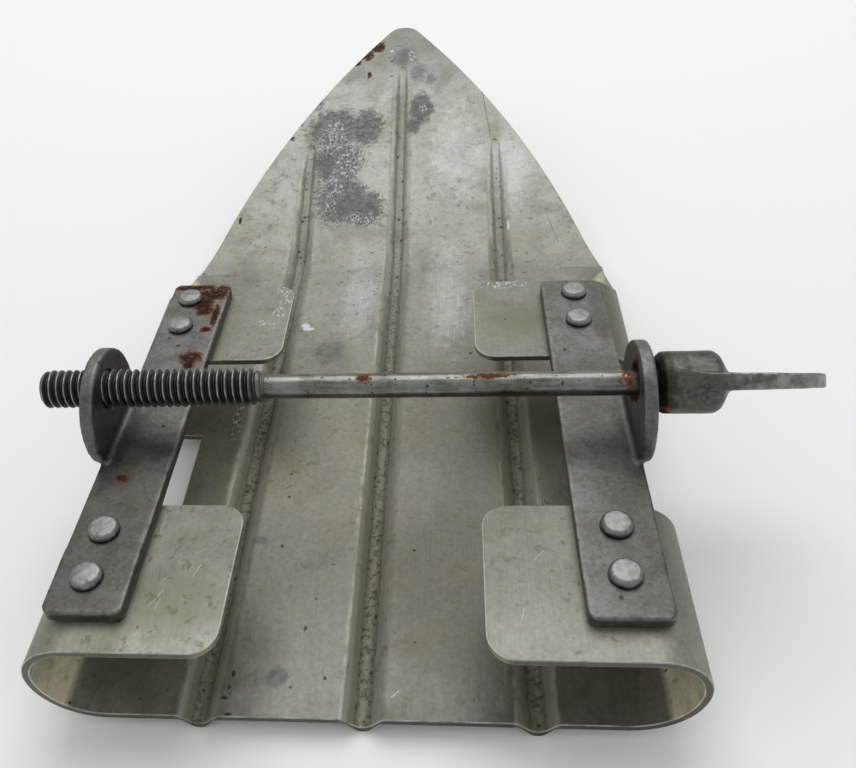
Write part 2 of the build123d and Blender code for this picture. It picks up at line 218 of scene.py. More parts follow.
class StageSizes(bpy.types.PropertyGroup):
    """The floor, the lamp, the sky and the camera."""

    floor_half: length_prop("Floor", "Half the width of the floor", 3000)
    floor_colour: colour_prop("Floor colour", "Colour of the floor", (0.93, 0.95, 0.94))
    lamp_side: length_prop("Lamp side", "Side of the soft box", 820)
    lamp_place: place_prop("Lamp place", "Where the soft box hangs", (0, 470, 850))
    lamp_power: FloatProperty(name="Lamp power", description="Power of the soft box", default=4.05,
                              min=0.0, unit="POWER")
    sky_high: FloatProperty(name="Sky overhead", description="Light from straight above", default=0.65)
    sky_low: FloatProperty(name="Sky low", description="Light from the horizon", default=0.50)
    camera_place: place_prop("Camera place", "Where the camera stands", (14.56, -105.87, 124.28))
    camera_tilt: angle_prop("Camera tilt", "How far the camera looks down", 39.595)
    camera_turn: angle_prop("Camera turn", "How far the camera turns towards +X", -7.052)
    camera_roll: angle_prop("Camera roll", "How far the camera leans", 5.314)
    camera_lens: FloatProperty(name="Lens", description="Focal length in millimetres", default=37.39)
    camera_shift: FloatVectorProperty(name="Shift", description="Lens shift across and up", size=2,
                                      default=(0.0635, -0.0317))


# ---------------------------------------------------------------- places of the marks, in millimetres

# the sheet's tones, each with the place along the sole where it is pure; the toe's lighter tone is partly
# painted reflection
SOLE_TONES = (
    (-42, "sole_heel"),
    (-5, "sole_middle"),
    (28, "sole_middle"),
    (56, "sole_bend"),
    (80, "sole_bend"),
    (97, "sole_toe"),
    (130, "sole_toe"),
    (152, "sole_tip"),
)
# each mark is a centre, then its half extents along x, y and z
STAINS = (
    ((-18.0, 120.5, 17.0), (7.5, 8.5, 9.0)),
    ((-9.5, 121.0, 17.0), (5.0, 7.5, 9.0)),
    ((-16.6, 108.0, 13.0), (7.4, 8.5, 9.0)),
    ((-15.0, 96.0, 9.0), (7.4, 9.0, 9.0)),
    ((-8.5, 93.0, 8.0), (5.0, 6.5, 8.0)),
    ((5.4, 127.0, 19.5), (3.6, 6.2, 8.0)),
    ((3.2, 120.6, 17.0), (2.0, 3.4, 8.0)),
)
FAINT_STAINS = (
    ((0.4, 147.4, 26.0), (4.2, 4.0, 8.0)),
    ((4.4, 140.5, 24.0), (2.6, 4.2, 8.0)),
    ((8.0, 138.0, 23.0), (1.8, 2.4, 8.0)),
    ((-13.2, 41.0, 3.4), (3.6, 4.4, 3.0)),
    ((-13.0, -35.4, 3.4), (1.8, 1.8, 2.0)),
    ((-20.0, -9.9, 3.4), (1.4, 1.0, 2.0)),
    ((-23.4, 129.4, 20.6), (1.8, 3.0, 3.0)),
)
OLIVE_MARKS = (
    ((0.2, 146.4, 26.0), (2.0, 5.0, 6.0)),
    ((-24.4, 117.6, 16.5), (2.0, 4.4, 6.0)),
    ((25.2, 117.8, 16.5), (2.0, 4.6, 6.0)),
    ((21.6, 12.0, 3.0), (2.2, 26.0, 3.0)),
    ((29.6, 26.0, 3.0), (3.2, 22.0, 3.0)),
    ((-28.6, 4.0, 3.0), (2.2, 30.0, 3.0)),
    ((-38.0, 62.0, 4.0), (5.0, 16.0, 6.0)),
    ((40.0, 40.0, 19.6), (9.0, 24.0, 3.0)),
    ((-34.0, 24.0, 19.6), (6.0, 9.0, 3.0)),
    ((27.0, 30.0, 19.6), (7.0, 5.0, 3.0)),
    ((-26.0, -34.0, 19.6), (8.0, 6.0, 3.0)),
)
PIT_MARKS = (
    ((-19.9, -35.3, 3.4), (0.35, 0.7, 2.0)),
    ((-20.2, -37.4, 3.4), (0.35, 0.6, 2.0)),
    ((-20.5, -39.0, 3.4), (0.7, 0.4, 2.0)),
    ((-19.8, -38.3, 3.4), (0.3, 0.4, 2.0)),
    ((-19.6, -41.6, 3.4), (0.6, 0.3, 2.0)),
    ((-11.0, -37.1, 3.4), (0.4, 0.4, 2.0)),
    ((-5.9, -35.6, 3.4), (0.3, 0.5, 2.0)),
    ((-9.8, -27.1, 3.4), (0.4, 0.6, 2.0)),
    ((-8.8, -21.7, 3.4), (0.3, 0.4, 2.0)),
    ((-15.9, -11.1, 3.4), (0.3, 0.4, 2.0)),
    ((-6.6, -14.9, 3.4), (0.3, 0.3, 2.0)),
    ((7.4, -29.3, 3.4), (0.3, 0.3, 2.0)),
    ((-23.3, 130.6, 20.6), (0.8, 1.2, 3.0)),
    ((-27.6, 122.4, 18.0), (0.5, 0.7, 3.0)),
    ((-29.8, 117.4, 16.2), (0.6, 1.0, 3.0)),
)
# pale patches laid along the brushed grain; the two on the toe's right are painted reflection
PALE_CLOUDS = (
    ((28.0, 104.0, 13.0), (6.4, 14.0, 9.0)),
    ((15.0, 112.0, 14.0), (8.0, 20.0, 9.0)),
    ((12.0, 60.0, 3.4), (5.0, 20.0, 5.0)),
    ((-8.0, 62.0, 3.4), (4.0, 16.0, 5.0)),
    ((-27.4, 30.0, 3.4), (1.3, 26.0, 3.0)),
)
SPARKLES = (
    ((-18.2, 117.5, 17.0), (4.4, 7.6, 9.0)),
    ((-13.6, 108.5, 14.5), (4.0, 6.0, 9.0)),
    ((-17.0, 100.5, 11.0), (2.4, 5.4, 9.0)),
    ((-17.6, 93.5, 8.5), (2.0, 3.4, 9.0)),
    ((-9.4, 89.5, 7.6), (5.4, 2.2, 9.0)),
    ((5.8, 127.0, 19.5), (1.3, 2.6, 8.0)),
    ((2.4, 147.6, 26.0), (1.2, 2.2, 6.0)),
    ((-20.4, 41.6, 19.6), (2.0, 1.8, 1.0)),
    ((-20.0, 37.4, 19.6), (1.3, 3.4, 1.0)),
    ((-20.6, 33.4, 19.6), (1.8, 1.6, 1.0)),
    ((-22.4, 30.6, 19.6), (2.4, 1.2, 1.0)),
    ((-25.8, 44.2, 19.6), (1.4, 0.8, 1.0)),
    ((24.0, 42.0, 19.6), (5.4, 1.8, 1.0)),
    ((-29.4, 32.0, 3.0), (1.4, 20.0, 2.0)),
)
WHITE_FLAKES = (
    ((-19.4, 50.4, 3.4), (1.0, 0.8, 2.0)),
    ((-18.6, 49.2, 3.4), (1.4, 0.6, 2.0)),
    ((-19.6, 42.6, 19.6), (1.2, 0.6, 0.6)),
    ((-25.9, 44.5, 19.6), (0.8, 0.35, 0.6)),
    ((27.4, 86.2, 6.2), (0.3, 1.6, 2.0)),
    ((-3.4, 150.0, 27.0), (0.5, 0.5, 2.0)),
)
EDGE_RUST = (
    ((-7.6, 152.0, 27.6), (2.4, 2.2, 3.0)),
    ((-10.6, 148.8, 26.6), (2.0, 2.2, 3.0)),
    ((-13.2, 146.0, 25.6), (1.0, 1.4, 3.0)),
    ((-9.6, 140.6, 23.9), (0.6, 1.3, 3.0)),
    ((-31.0, 117.8, 16.4), (0.8, 1.6, 3.0)),
    ((-36.2, 106.8, 13.0), (0.6, 1.2, 3.0)),
    ((-40.9, 90.0, 7.4), (0.4, 1.0, 3.0)),
)
# each line is a start, an end and a half width
DARK_LINES = (
    ((22.1, 133.8, 21.7), (23.9, 117.0, 16.2), 0.20),
    ((36.4, 92.0, 8.0), (39.6, 79.0, 4.0), 0.14),
)
PALE_LINES = (
    ((-24.2, -29.4, 19.65), (-23.4, -27.4, 19.65), 0.10),
    ((-24.6, -25.4, 19.65), (-23.2, -24.4, 19.65), 0.08),
    ((-29.4, -34.6, 19.65), (-28.0, -31.8, 19.65), 0.10),
    ((-28.4, -35.0, 19.65), (-28.0, -33.2, 19.65), 0.08),
    ((25.0, -26.0, 19.65), (26.4, -24.4, 19.65), 0.08),
    ((22.6, -36.0, 19.65), (23.0, -34.2, 19.65), 0.08),
    ((4.2, -38.4, 3.4), (5.2, -37.4, 3.4), 0.16),
    ((-10.0, 70.0, 3.4), (-9.2, 66.0, 3.4), 0.08),
)
LEFT_STRAP_RUST = (
    ((-34.6, 37.4, 22.0), (2.9, 2.1, 1.6)),
    ((-35.7, 34.6, 22.0), (1.9, 2.8, 1.6)),
    ((-34.9, 32.0, 22.0), (1.8, 1.5, 1.6)),
    ((-32.7, 30.6, 22.0), (0.7, 3.4, 1.6)),
    ((-38.4, 39.8, 21.6), (5.0, 0.9, 1.6)),
    ((-33.0, 38.8, 21.6), (1.6, 1.6, 1.6)),
    ((-33.6, 26.0, 22.0), (1.1, 0.8, 1.2)),
    ((-34.8, 17.5, 22.0), (2.1, 1.9, 1.2)),
    ((-34.7, 15.4, 22.0), (1.1, 1.2, 1.2)),
    ((-39.0, -12.4, 22.0), (1.2, 0.9, 1.2)),
)
LEFT_STRAP_SHADE = (
    ((-38.4, -20.0, 22.0), (9.0, 26.0, 3.0)),
)
# the first mark, over the right strap's rear end, is painted shade
RIGHT_STRAP_SHADE = (
    ((41.6, -16.0, 22.0), (9.0, 24.0, 3.0)),
    ((36.6, 10.0, 22.0), (8.0, 8.0, 3.0)),
    ((41.0, 30.0, 22.0), (2.0, 12.0, 3.0)),
)
RIGHT_STRAP_RUST = (
    ((42.4, 0.6, 33.6), (1.6, 2.0, 1.2)),
    ((42.0, 1.6, 26.8), (1.6, 2.2, 1.4)),
)
SHANK_RUST = (
    ((-0.4, -0.3, 31.9), (1.2, 0.7, 0.5)),
    ((19.4, -0.2, 32.0), (3.6, 0.6, 0.4)),
    ((40.6, 0.0, 31.0), (1.0, 1.8, 1.6)),
)
HEAD_RUST = (
    ((46.0, -3.4, 27.6), (0.9, 2.2, 1.6)),
)
# soft bands along a groove: from and to, off its middle, then a finish and its share at heel and toe; the
# cream bands are residue and a painted highlight on the shoulders
GROOVE_BANDS = (
    (-3.0, 3.0, "groove_side", 0.30, 0.0),
    (-2.2, 2.2, "groove_side", 0.0, 0.10),
    (-2.1, -0.9, "sole_olive", 0.60, 0.0),
    (-1.2, -0.85, "pit", 0.50, 0.0),
    (0.85, 1.3, "pit", 0.60, 0.0),
    (-1.2, -0.9, "pit", 0.0, 0.34),
    (0.9, 1.2, "pit", 0.0, 0.30),
    (1.3, 2.2, "sole_shade", 0.30, 0.0),
    (-0.9, 0.9, "sole_olive", 0.55, 0.16),
    (-0.9, 0.9, "pit", 0.10, 0.0),
    (-3.3, -2.9, "cream_and_highlight", 0.60, 0.0),
    (-2.3, -1.6, "cream_and_highlight", 0.0, 0.80),
    (1.6, 2.3, "cream_and_highlight", 0.0, 0.62),
)


# ---------------------------------------------------------------- node helpers


def add_node(tree, kind, inputs=None, **settings):
    """Adds a node, sets what it is told and joins or fills its inputs."""
    made = tree.nodes.new(kind)
    for name, value in settings.items():
        setattr(made, name, value)
    for key, value in (inputs or {}).items():
        if isinstance(value, bpy.types.NodeSocket):
            tree.links.new(value, made.inputs[key])
        else:
            made.inputs[key].default_value = value
    return made


def calc(tree, operation, first, second=0.0, third=0.0, clamp=False):
    """One sum on values."""
    inputs = {0: first, 1: second, 2: third}
    return add_node(tree, "ShaderNodeMath", inputs, operation=operation, use_clamp=clamp).outputs[0]


def calc_vector(tree, operation, first, second=(0.0, 0.0, 0.0)):
    """One sum on vectors."""
    made = add_node(tree, "ShaderNodeVectorMath", {0: first, 1: second}, operation=operation)
    return made.outputs["Value" if operation in {"LENGTH", "DOT_PRODUCT", "DISTANCE"} else "Vector"]


def blend_colour(tree, share, under, over, how="MIX"):
    """Lays one colour over another by a share."""
    made = add_node(tree, "ShaderNodeMix", None, data_type="RGBA", blend_type=how, clamp_factor=True)
    for index, value in ((0, share), (6, under), (7, over)):
        if isinstance(value, bpy.types.NodeSocket):
            tree.links.new(value, made.inputs[index])
        elif index == 0:
            made.inputs[index].default_value = value
        else:
            made.inputs[index].default_value = (*value, 1.0)
    return made.outputs[2]


def lay(tree, colour, finish, mask, share):
    """Lays a finish over a colour where a mask is, by a share."""
    return blend_colour(tree, calc(tree, "MULTIPLY", mask, share), colour, finish)


def step_between(tree, value, low, high, start=0.0, end=1.0):
    """A soft step from start to end as value goes from low to high."""
    inputs = {"Value": value, "From Min": low, "From Max": high, "To Min": start, "To Max": end}
    return add_node(tree, "ShaderNodeMapRange", inputs, interpolation_type="SMOOTHSTEP").outputs[0]


def new_group(name, inputs, outputs):
    """A node group with named sockets, and its inner input and output nodes."""
    tree = bpy.data.node_groups.new(name, "ShaderNodeTree")
    kinds = {"vector": "NodeSocketVector", "value": "NodeSocketFloat", "colour": "NodeSocketColor"}
    for label, kind, default in inputs:
        socket = tree.interface.new_socket(name=label, in_out="INPUT", socket_type=kinds[kind])
        if default is not None:
            socket.default_value = default
    for label, kind in outputs:
        tree.interface.new_socket(name=label, in_out="OUTPUT", socket_type=kinds[kind])
    return tree, tree.nodes.new("NodeGroupInput").outputs, tree.nodes.new("NodeGroupOutput").inputs


def use_group(tree, name, **inputs):
    """Places a node group in a material and returns its outputs."""
    made = tree.nodes.new("ShaderNodeGroup")
    made.node_tree = bpy.data.node_groups[name]
    for label, value in inputs.items():
        socket = made.inputs[label.replace("_", " ").capitalize()]
        if isinstance(value, bpy.types.NodeSocket):
            tree.links.new(value, socket)
        else:
            socket.default_value = value
    return made.outputs


def noise_value(tree, place, scale, detail=4.0, roughness=0.55, distortion=0.0):
    """Fractal noise from 0 to 1."""
    inputs = {"Vector": place, "Scale": scale, "Detail": detail, "Roughness": roughness,
              "Distortion": distortion}
    return add_node(tree, "ShaderNodeTexNoise", inputs).outputs["Fac"]


# ---------------------------------------------------------------- shared effects


def make_brushed_grain():
    """Fine lines drawn along y, as rolling and rubbing leave them."""
    tree, given, out = new_group("brushed_grain", [("Place", "vector", None), ("Lines", "value", 4500.0),
                                                   ("Run", "value", 60.0)], [("Streak", "value")])
    split = add_node(tree, "ShaderNodeSeparateXYZ", {0: given["Place"]})
    across = calc(tree, "MULTIPLY", split.outputs["X"], given["Lines"])
    along = calc(tree, "MULTIPLY", split.outputs["Y"], given["Run"])
    rise = calc(tree, "MULTIPLY", split.outputs["Z"], given["Lines"])
    place = add_node(tree, "ShaderNodeCombineXYZ", {0: across, 1: along, 2: rise}).outputs[0]
    tree.links.new(noise_value(tree, place, 1.0, 3.0, 0.6), out["Streak"])


def make_pitting():
    """Ragged pits that cover a share of the surface."""
    tree, given, out = new_group("pitting", [("Place", "vector", None), ("Scale", "value", 900.0),
                                             ("Cover", "value", 0.3), ("Soft", "value", 0.06)],
                                 [("Mask", "value")])
    grain = noise_value(tree, given["Place"], given["Scale"], 2.0, 0.55)
    edge = calc(tree, "SUBTRACT", 0.78, calc(tree, "MULTIPLY", given["Cover"], 0.5))
    tree.links.new(step_between(tree, grain, edge, calc(tree, "ADD", edge, given["Soft"])), out["Mask"])


def make_specks():
    """Round specks of mixed size, in a share of the cells that they could fill."""
    tree, given, out = new_group("specks", [("Place", "vector", None), ("Scale", "value", 300.0),
                                            ("Share", "value", 0.3), ("Size", "value", 0.3)],
                                 [("Mask", "value")])
    cells = add_node(tree, "ShaderNodeTexVoronoi", {"Vector": given["Place"], "Scale": given["Scale"]})
    lots = add_node(tree, "ShaderNodeSeparateColor", {0: cells.outputs["Color"]})
    drawn = calc(tree, "LESS_THAN", lots.outputs["Red"], given["Share"])
    growth = calc(tree, "MULTIPLY_ADD", lots.outputs["Green"], 0.8, 0.4)
    size = calc(tree, "MULTIPLY", given["Size"], growth)
    dot = step_between(tree, cells.outputs["Distance"], size, calc(tree, "MULTIPLY", size, 0.35))
    tree.links.new(calc(tree, "MULTIPLY", dot, drawn), out["Mask"])


def make_blotch():
    """A patch round a centre, with half extents along each axis and a torn edge: how deep a place is."""
    tree, given, out = new_group("blotch", [("Place", "vector", None), ("Centre", "vector", None),
                                            ("Extent", "vector", (1.0, 1.0, 1.0)),
                                            ("Torn", "value", 0.5), ("Ragged", "value", 0.8)],
                                 [("Depth", "value")])
    offset = calc_vector(tree, "SUBTRACT", given["Place"], given["Centre"])
    share = calc_vector(tree, "LENGTH", calc_vector(tree, "DIVIDE", offset, given["Extent"]))
    torn = calc(tree, "MULTIPLY", calc(tree, "SUBTRACT", given["Torn"], 0.5), given["Ragged"])
    reach = calc(tree, "MULTIPLY_ADD", torn, 2.5, share)
    tree.links.new(calc(tree, "SUBTRACT", 1.0, reach), out["Depth"])


def make_scratch():
    """A thin line between two places."""
    tree, given, out = new_group("scratch", [("Place", "vector", None), ("Start", "vector", None),
                                             ("End", "vector", (0.0, 1.0, 0.0)),
                                             ("Width", "value", 0.0002)], [("Mask", "value")])
    run = calc_vector(tree, "SUBTRACT", given["End"], given["Start"])
    away = calc_vector(tree, "SUBTRACT", given["Place"], given["Start"])
    share = calc(tree, "DIVIDE", calc_vector(tree, "DOT_PRODUCT", away, run),
                 calc_vector(tree, "DOT_PRODUCT", run, run), clamp=True)
    spread = add_node(tree, "ShaderNodeCombineXYZ", {0: share, 1: share, 2: share}).outputs[0]
    gap = calc_vector(tree, "DISTANCE", away, calc_vector(tree, "MULTIPLY", run, spread))
    tree.links.new(step_between(tree, gap, given["Width"], 0.0), out["Mask"])


def make_rust():
    """The colour of rust: orange dust round a dark crust."""
    tree, given, out = new_group("rust_colour", [("Place", "vector", None), ("Depth", "value", 0.5),
                                                 ("Deep", "colour", None), ("Bright", "colour", None)],
                                 [("Colour", "colour")])
    mottle = noise_value(tree, given["Place"], 1500.0, 5.0, 0.75)
    crust = calc(tree, "MULTIPLY_ADD", mottle, 2.6, calc(tree, "SUBTRACT", given["Depth"], 1.30))
    share = step_between(tree, crust, -0.25, 0.45)
    tree.links.new(blend_colour(tree, share, given["Bright"], given["Deep"]), out["Colour"])


def make_worn_edge():
    """Where edges are rubbed bright, broken up by noise; on the sheet's rims it also serves as a painted
    highlight.
    """
    tree, given, out = new_group("worn_edge", [("Place", "vector", None), ("Scale", "value", 700.0),
                                               ("Amount", "value", 1.0)], [("Mask", "value")])
    worn = add_node(tree, "ShaderNodeAttribute", attribute_name=WORN).outputs["Fac"]
    grain = noise_value(tree, given["Place"], given["Scale"], 4.0, 0.65)
    share = calc(tree, "MULTIPLY", worn, step_between(tree, grain, 0.32, 0.62))
    tree.links.new(calc(tree, "MULTIPLY", share, given["Amount"], clamp=True), out["Mask"])


def make_grooves():
    """Distance from the nearest pressed groove's middle, and how fully the groove runs there."""
    tree, given, out = new_group("grooves", [("Place", "vector", None), ("Left", "value", -0.02),
                                             ("Middle", "value", 0.0), ("Right", "value", 0.02),
                                             ("Middle end", "value", 0.1), ("Side end", "value", 0.1)],
                                 [("Off", "value"), ("Run", "value")])
    split = add_node(tree, "ShaderNodeSeparateXYZ", {0: given["Place"]})
    across = split.outputs["X"]
    lefts, rights = [
        calc(tree, "MULTIPLY", calc(tree, "ADD", given["Middle"], given[side]), 0.5)
        for side in ("Left", "Right")
    ]
    on_left = calc(tree, "LESS_THAN", across, lefts)
    on_right = calc(tree, "GREATER_THAN", across, rights)
    on_side = calc(tree, "MAXIMUM", on_left, on_right)
    nearest = calc(tree, "MULTIPLY", given["Middle"], calc(tree, "SUBTRACT", 1.0, on_side))
    nearest = calc(tree, "MULTIPLY_ADD", given["Left"], on_left, nearest)
    nearest = calc(tree, "MULTIPLY_ADD", given["Right"], on_right, nearest)
    sway = calc(tree, "MULTIPLY_ADD", noise_value(tree, given["Place"], 330.0, 4.0), 0.0009, -0.00045)
    tree.links.new(calc(tree, "ADD", calc(tree, "SUBTRACT", across, nearest), sway), out["Off"])
    shift = calc(tree, "MULTIPLY", on_side, calc(tree, "SUBTRACT", given["Side end"], given["Middle end"]))
    left_over = calc(tree, "SUBTRACT", calc(tree, "ADD", given["Middle end"], shift), split.outputs["Y"])
    tree.links.new(step_between(tree, left_over, 0.001, 0.014), out["Run"])


def make_shared_effects():
    """Builds each shared effect once."""
    makers = {"brushed_grain": make_brushed_grain, "pitting": make_pitting,
              "specks": make_specks, "blotch": make_blotch,
              "scratch": make_scratch, "rust_colour": make_rust, "worn_edge": make_worn_edge,
              "grooves": make_grooves}
    for name, maker in makers.items():
        if name not in bpy.data.node_groups:
            maker()


# ---------------------------------------------------------------- materials


def new_material(name, metallic=1.0):
    """A material with its Principled shader, and the place on the part that its effects read."""
    made = bpy.data.materials.new(name)
    made.use_nodes = True
    tree = made.node_tree
    shader = tree.nodes["Principled BSDF"]
    shader.inputs["Metallic"].default_value = metallic
    shader.inputs["Specular IOR Level"].default_value = 0.2
    place = tree.nodes.new("ShaderNodeTexCoord").outputs["Object"]
    return made, tree, shader, place


def in_metres(millimetres):
    """A place or extent in millimetres as metres."""
    return tuple(value * MM for value in millimetres)


def patches(tree, place, torn, marks, low=-0.05, high=0.15, ragged=0.8):
    """A mask of several torn patches, which rises as their depth goes from low to high."""
    whole = None
    for centre, extent in marks:
        depth = use_group(tree, "blotch", place=place, centre=in_metres(centre), extent=in_metres(extent),
                          torn=torn, ragged=ragged)["Depth"]
        whole = depth if whole is None else calc(tree, "MAXIMUM", whole, depth)
    return step_between(tree, whole, low, high), whole


def lay_rust(tree, place, colour, marks, finishes, scale=750.0, ragged=0.8, rim_share=0.4, deep=None):
    """Lays rust over a colour, with a thin stained rim, and returns the new colour and the rust's mask."""
    torn = noise_value(tree, place, scale, 5.0, 0.7, 0.3)
    mask, depth = patches(tree, place, torn, marks, -0.06, 0.10, ragged)
    deep = deep or finishes.rust_deep
    rust = use_group(tree, "rust_colour", place=place, depth=depth, deep=(*deep, 1.0),
                     bright=(*finishes.rust_bright, 1.0))["Colour"]
    holes = use_group(tree, "pitting", place=place, scale=1400.0, cover=0.42, soft=0.08)["Mask"]
    mask = calc(tree, "MULTIPLY", mask, calc(tree, "MULTIPLY_ADD", holes, -0.45, 1.0))
    rim = step_between(tree, depth, -0.30, 0.0)
    colour = lay(tree, colour, finishes.rust_bright, rim, rim_share)
    return blend_colour(tree, mask, colour, rust), mask


def band(tree, off, start, end, soft=0.3):
    """1 between two distances from a groove's middle, in millimetres, with soft borders."""
    rise = step_between(tree, off, (start - soft) * MM, (start + soft) * MM)
    fall = step_between(tree, off, (end + soft) * MM, (end - soft) * MM)
    return calc(tree, "MULTIPLY", rise, fall)


def grey(tree, value):
    """A value as a grey, to multiply a colour by."""
    return add_node(tree, "ShaderNodeCombineColor", {0: value, 1: value, 2: value}).outputs[0]


def add_bumps(tree, shader, layers):
    """Stacks bumps of given heights, in metres, on the shader's normal."""
    normal = None
    for height, depth in layers:
        inputs = {"Height": height, "Strength": 1.0, "Distance": depth}
        if normal is not None:
            inputs["Normal"] = normal
        normal = add_node(tree, "ShaderNodeBump", inputs).outputs["Normal"]
    tree.links.new(normal, shader.inputs["Normal"])


def zone_colour(tree, forward, finishes):
    """The sheet's tone from the heel to the tip, lighter on the toe partly as painted reflection."""
    first, last = SOLE_TONES[0][0], SOLE_TONES[-1][0]
    share = step_between(tree, forward, first * MM, last * MM)
    share.node.interpolation_type = "LINEAR"
    ramp = add_node(tree, "ShaderNodeValToRGB", {0: share})
    stops = ramp.color_ramp.elements
    while len(stops) < len(SOLE_TONES):
        stops.new(0.5)
    for stop, (place, finish) in zip(stops, SOLE_TONES):
        stop.position = (place - first) / (last - first)
        stop.color = (*getattr(finishes, finish), 1.0)
    return ramp.outputs["Color"]


def sole_tone(tree, place, split, masks, finishes):
    """The sheet's brushed, clouded and mottled tone, with painted shade on its right rear and painted light
    inside the tabs, before its grooves and marks.
    """
    forward = split.outputs["Y"]
    drift = calc(tree, "MULTIPLY_ADD", masks["cloud"], 40 * MM, -20 * MM)
    colour = zone_colour(tree, calc(tree, "ADD", forward, drift), finishes)
    # the sole's right side behind the toe is darkened towards the violet-grey: partly a real browning,
    # partly painted shade
    right = step_between(tree, calc(tree, "ADD", split.outputs["X"], drift), -2 * MM, 12 * MM)
    behind = step_between(tree, calc(tree, "ADD", forward, drift), 50 * MM, 22 * MM)
    shaded = calc(tree, "MULTIPLY", right, calc(tree, "MULTIPLY_ADD", behind, 0.78, 0.12))
    colour = blend_colour(tree, shaded, colour, finishes.sole_shade)
    rear = step_between(tree, forward, -28 * MM, -41 * MM)
    tab = blend_colour(tree, rear, finishes.sole_tab, finishes.tab_heel)
    # painted shade: the tabs on the right rear are darkened towards the violet-grey
    right_rear_painted_shade = calc(tree, "MULTIPLY", right, behind)
    tab = blend_colour(tree, calc(tree, "MULTIPLY", right_rear_painted_shade, 0.30), tab, finishes.sole_shade)
    # painted light inside the rolled tabs, over an olive-brown film
    tab = blend_colour(tree, masks["inner"], tab, finishes.inside_film_and_fill_light)
    colour = blend_colour(tree, masks["tab"], colour, tab)
    colour = blend_colour(tree, masks["beneath"], colour, finishes.sole_under)
    violet = step_between(tree, noise_value(tree, place, 75.0, 5.0, 0.62, 0.6), 0.46, 0.66)
    colour = lay(tree, colour, finishes.sole_shade, violet, 0.46)
    olive = step_between(tree, calc(tree, "MULTIPLY_ADD", masks["mottle"], 0.5, calc(
        tree, "MULTIPLY", masks["cloud"], 0.6)), 0.50, 0.74)
    colour = lay(tree, colour, finishes.sole_olive, olive, 0.45)
    tone = calc(tree, "MULTIPLY_ADD", masks["cloud"], 0.55, 0.0)
    for grainy, share in (("mottle", 0.68), ("fine", 0.62), ("grain", 0.32)):
        tone = calc(tree, "MULTIPLY_ADD", masks[grainy], share, tone)
    return blend_colour(tree, 1.0, colour, grey(tree, tone), "MULTIPLY")


def groove_finish(tree, place, forward, inside, sizes, finishes, colour):
    """Lays the dark bands, the pale bands of residue and painted highlight, and the pitted floors of the
    grooves over a colour.
    """
    left, middle, right = sizes.groove_places
    groove = use_group(tree, "grooves", place=place, left=left, middle=middle, right=right,
                       middle_end=sizes.middle_end, side_end=sizes.side_end)
    here = calc(tree, "MULTIPLY", groove["Run"], inside)
    ahead = step_between(tree, forward, 40 * MM, 95 * MM)
    patchy = step_between(tree, noise_value(tree, place, 150.0, 4.0, 0.62), 0.38, 0.62)
    for start, end, finish, at_heel, at_toe in GROOVE_BANDS:
        share = calc(tree, "MULTIPLY_ADD", ahead, at_toe - at_heel, at_heel)
        # the cream bands, residue and painted highlight, are broken into patches
        if finish == "cream_and_highlight":
            share = calc(tree, "MULTIPLY", share, patchy)
        share = calc(tree, "MULTIPLY", calc(tree, "MULTIPLY", share, here),
                     band(tree, groove["Off"], start, end))
        colour = blend_colour(tree, share, colour, getattr(finishes, finish))
    gravel = use_group(tree, "pitting", place=place, scale=1300.0, cover=0.56, soft=0.16)["Mask"]
    holes = use_group(tree, "specks", place=place, scale=640.0, share=0.62, size=0.36)["Mask"]
    gravelled = calc(tree, "MULTIPLY", gravel, calc(tree, "MULTIPLY_ADD", ahead, -0.50, 0.75))
    dirt = calc(tree, "MAXIMUM", gravelled, holes)
    floor = band(tree, groove["Off"], -1.2, 1.2, 0.2)
    dirt = calc(tree, "MULTIPLY", calc(tree, "MULTIPLY", floor, dirt), here)
    colour = lay(tree, colour, finishes.pit, dirt, 0.85)
    return colour, dirt, calc(tree, "MULTIPLY", here, band(tree, groove["Off"], -2.8, 2.8, 0.5))


